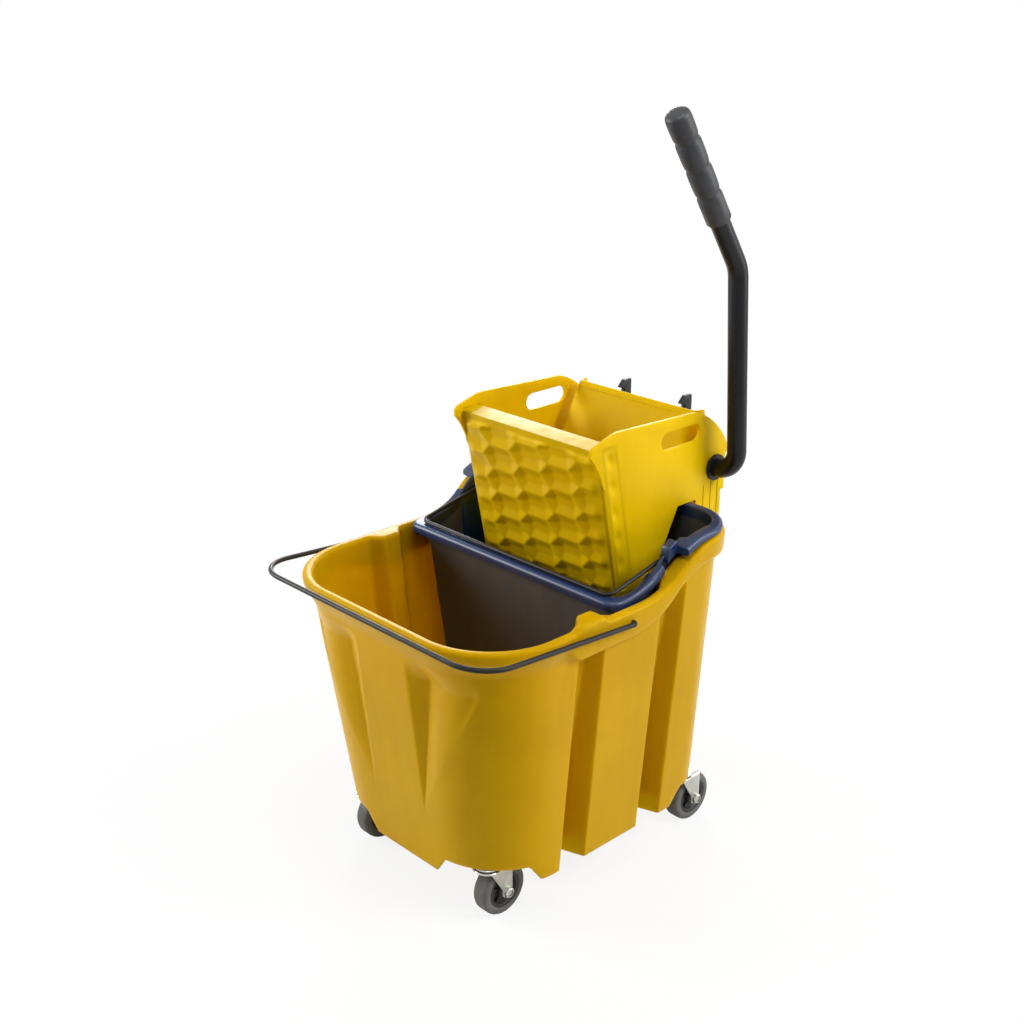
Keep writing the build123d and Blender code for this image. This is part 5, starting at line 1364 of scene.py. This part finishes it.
# %% Camera
SENSOR = 36.0
FRAME_PIXELS = 1024
FOCAL_PIXELS = 1430.827
HEADING = math.radians(46.289)
PITCH = math.radians(21.132)
CAMERA_PLACE = Vector((1.1517, -1.1113, 1.0595))
scene = bpy.context.scene
camera_data = bpy.data.cameras.new("camera")
camera_data.sensor_width = SENSOR
camera_data.lens = FOCAL_PIXELS / FRAME_PIXELS * SENSOR
camera_data.clip_end = 20.0
camera = bpy.data.objects.new("camera", camera_data)
across = Vector((math.cos(HEADING), math.sin(HEADING), 0.0))
back = Vector((math.sin(HEADING) * math.cos(PITCH), -math.cos(HEADING) * math.cos(PITCH), math.sin(PITCH)))
axes = Matrix((across, back.cross(across), back)).transposed()
camera.matrix_world = Matrix.Translation(CAMERA_PLACE) @ axes.to_4x4()
scene.collection.objects.link(camera)
scene.camera = camera
print("lens", round(camera_data.lens, 2), "mm")


# %% Lamps
def soft_lamp(name, place, aim, size, power):
    """A rectangle of light at a place, turned towards its aim."""
    data = bpy.data.lights.new(name, "AREA")
    data.shape = "RECTANGLE"
    data.size = size[0]
    data.size_y = size[1]
    data.energy = power
    lamp = bpy.data.objects.new(name, data)
    lamp.location = place
    lamp.rotation_euler = (Vector(aim) - lamp.location).to_track_quat("-Z", "Y").to_euler()
    scene.collection.objects.link(lamp)
    print(name, power, "W")


soft_lamp("left light", (-2.0, -1.5, 1.25), (0.0, 0.0, 0.35), (1.0, 1.4), 56.0)
soft_lamp("right light", (1.7, 0.7, 1.95), (0.0, 0.0, 0.35), (0.9, 0.9), 36.0)
soft_lamp("rear light", (1.8, 2.0, 0.8), (0.0, 0.0, 0.35), (1.0, 1.2), 22.0)
soft_lamp("back light", (-1.8, 1.7, 1.35), (0.0, 0.0, 0.4), (1.2, 0.9), 38.0)
soft_lamp("top light", (0.5, -0.4, 2.4), (0.0, 0.0, 0.3), (0.7, 0.7), 16.0)

# %% World: white to the camera and in reflections, dim as a light
WHITE = (1.0, 1.0, 1.0, 1.0)
WORLD_LIGHT = 0.06
scene.view_settings.view_transform = "Standard"
world = bpy.data.worlds.new("studio")
scene.world = world
world.use_nodes = True
sky = world.node_tree
rays = sky.nodes.new("ShaderNodeLightPath").outputs
seen = rays["Is Camera Ray"]
for kind in ("Is Transmission Ray", "Is Glossy Ray"):
    seen = math_node(sky, "MAXIMUM", seen, rays[kind])
level = add_node(sky, "ShaderNodeMapRange", {"Value": seen, "To Min": WORLD_LIGHT, "To Max": 1.0})
sky.nodes["Background"].inputs["Color"].default_value = WHITE
sky.links.new(level.outputs["Result"], sky.nodes["Background"].inputs["Strength"])
print("world lights at", WORLD_LIGHT, "and shows at 1")

# %% Floor
FLOOR_HALF = 8.0
FLOOR_COLOUR = (0.86, 0.86, 0.86, 1.0)
FLOOR_ROUGHNESS = 0.9
GLOW_FADE = {"From Min": 0.25, "From Max": 0.8, "To Min": 0.86, "To Max": 1.0}
floor_corners = [(x * FLOOR_HALF, y * FLOOR_HALF, 0.0) for x, y in ((-1, -1), (1, -1), (1, 1), (-1, 1))]
floor_mesh = bpy.data.meshes.new("floor")
floor_mesh.from_pydata(floor_corners, [], [(0, 1, 2, 3)])
floor = bpy.data.objects.new("floor", floor_mesh)
scene.collection.objects.link(floor)
floor_white = bpy.data.materials.new("floor white")
floor_white.use_nodes = True
floor_mesh.materials.append(floor_white)
tree = floor_white.node_tree
shader = tree.nodes["Principled BSDF"]
shader.inputs["Base Color"].default_value = FLOOR_COLOUR
shader.inputs["Roughness"].default_value = FLOOR_ROUGHNESS
distance = tree.nodes.new("ShaderNodeVectorMath")
distance.operation = "LENGTH"
tree.links.new(tree.nodes.new("ShaderNodeTexCoord").outputs["Object"], distance.inputs[0])
fade = add_node(tree, "ShaderNodeMapRange", {"Value": distance.outputs["Value"], **GLOW_FADE})
to_camera = tree.nodes.new("ShaderNodeLightPath").outputs["Is Camera Ray"]
glow_share = math_node(tree, "MULTIPLY", fade.outputs["Result"], to_camera)
glow = tree.nodes.new("ShaderNodeEmission").outputs["Emission"]
blend = add_node(tree, "ShaderNodeMixShader", {"Fac": glow_share, 1: shader.outputs["BSDF"], 2: glow})
tree.links.new(blend.outputs["Shader"], tree.nodes["Material Output"].inputs["Surface"])
print("floor is", 2 * FLOOR_HALF, "m wide")
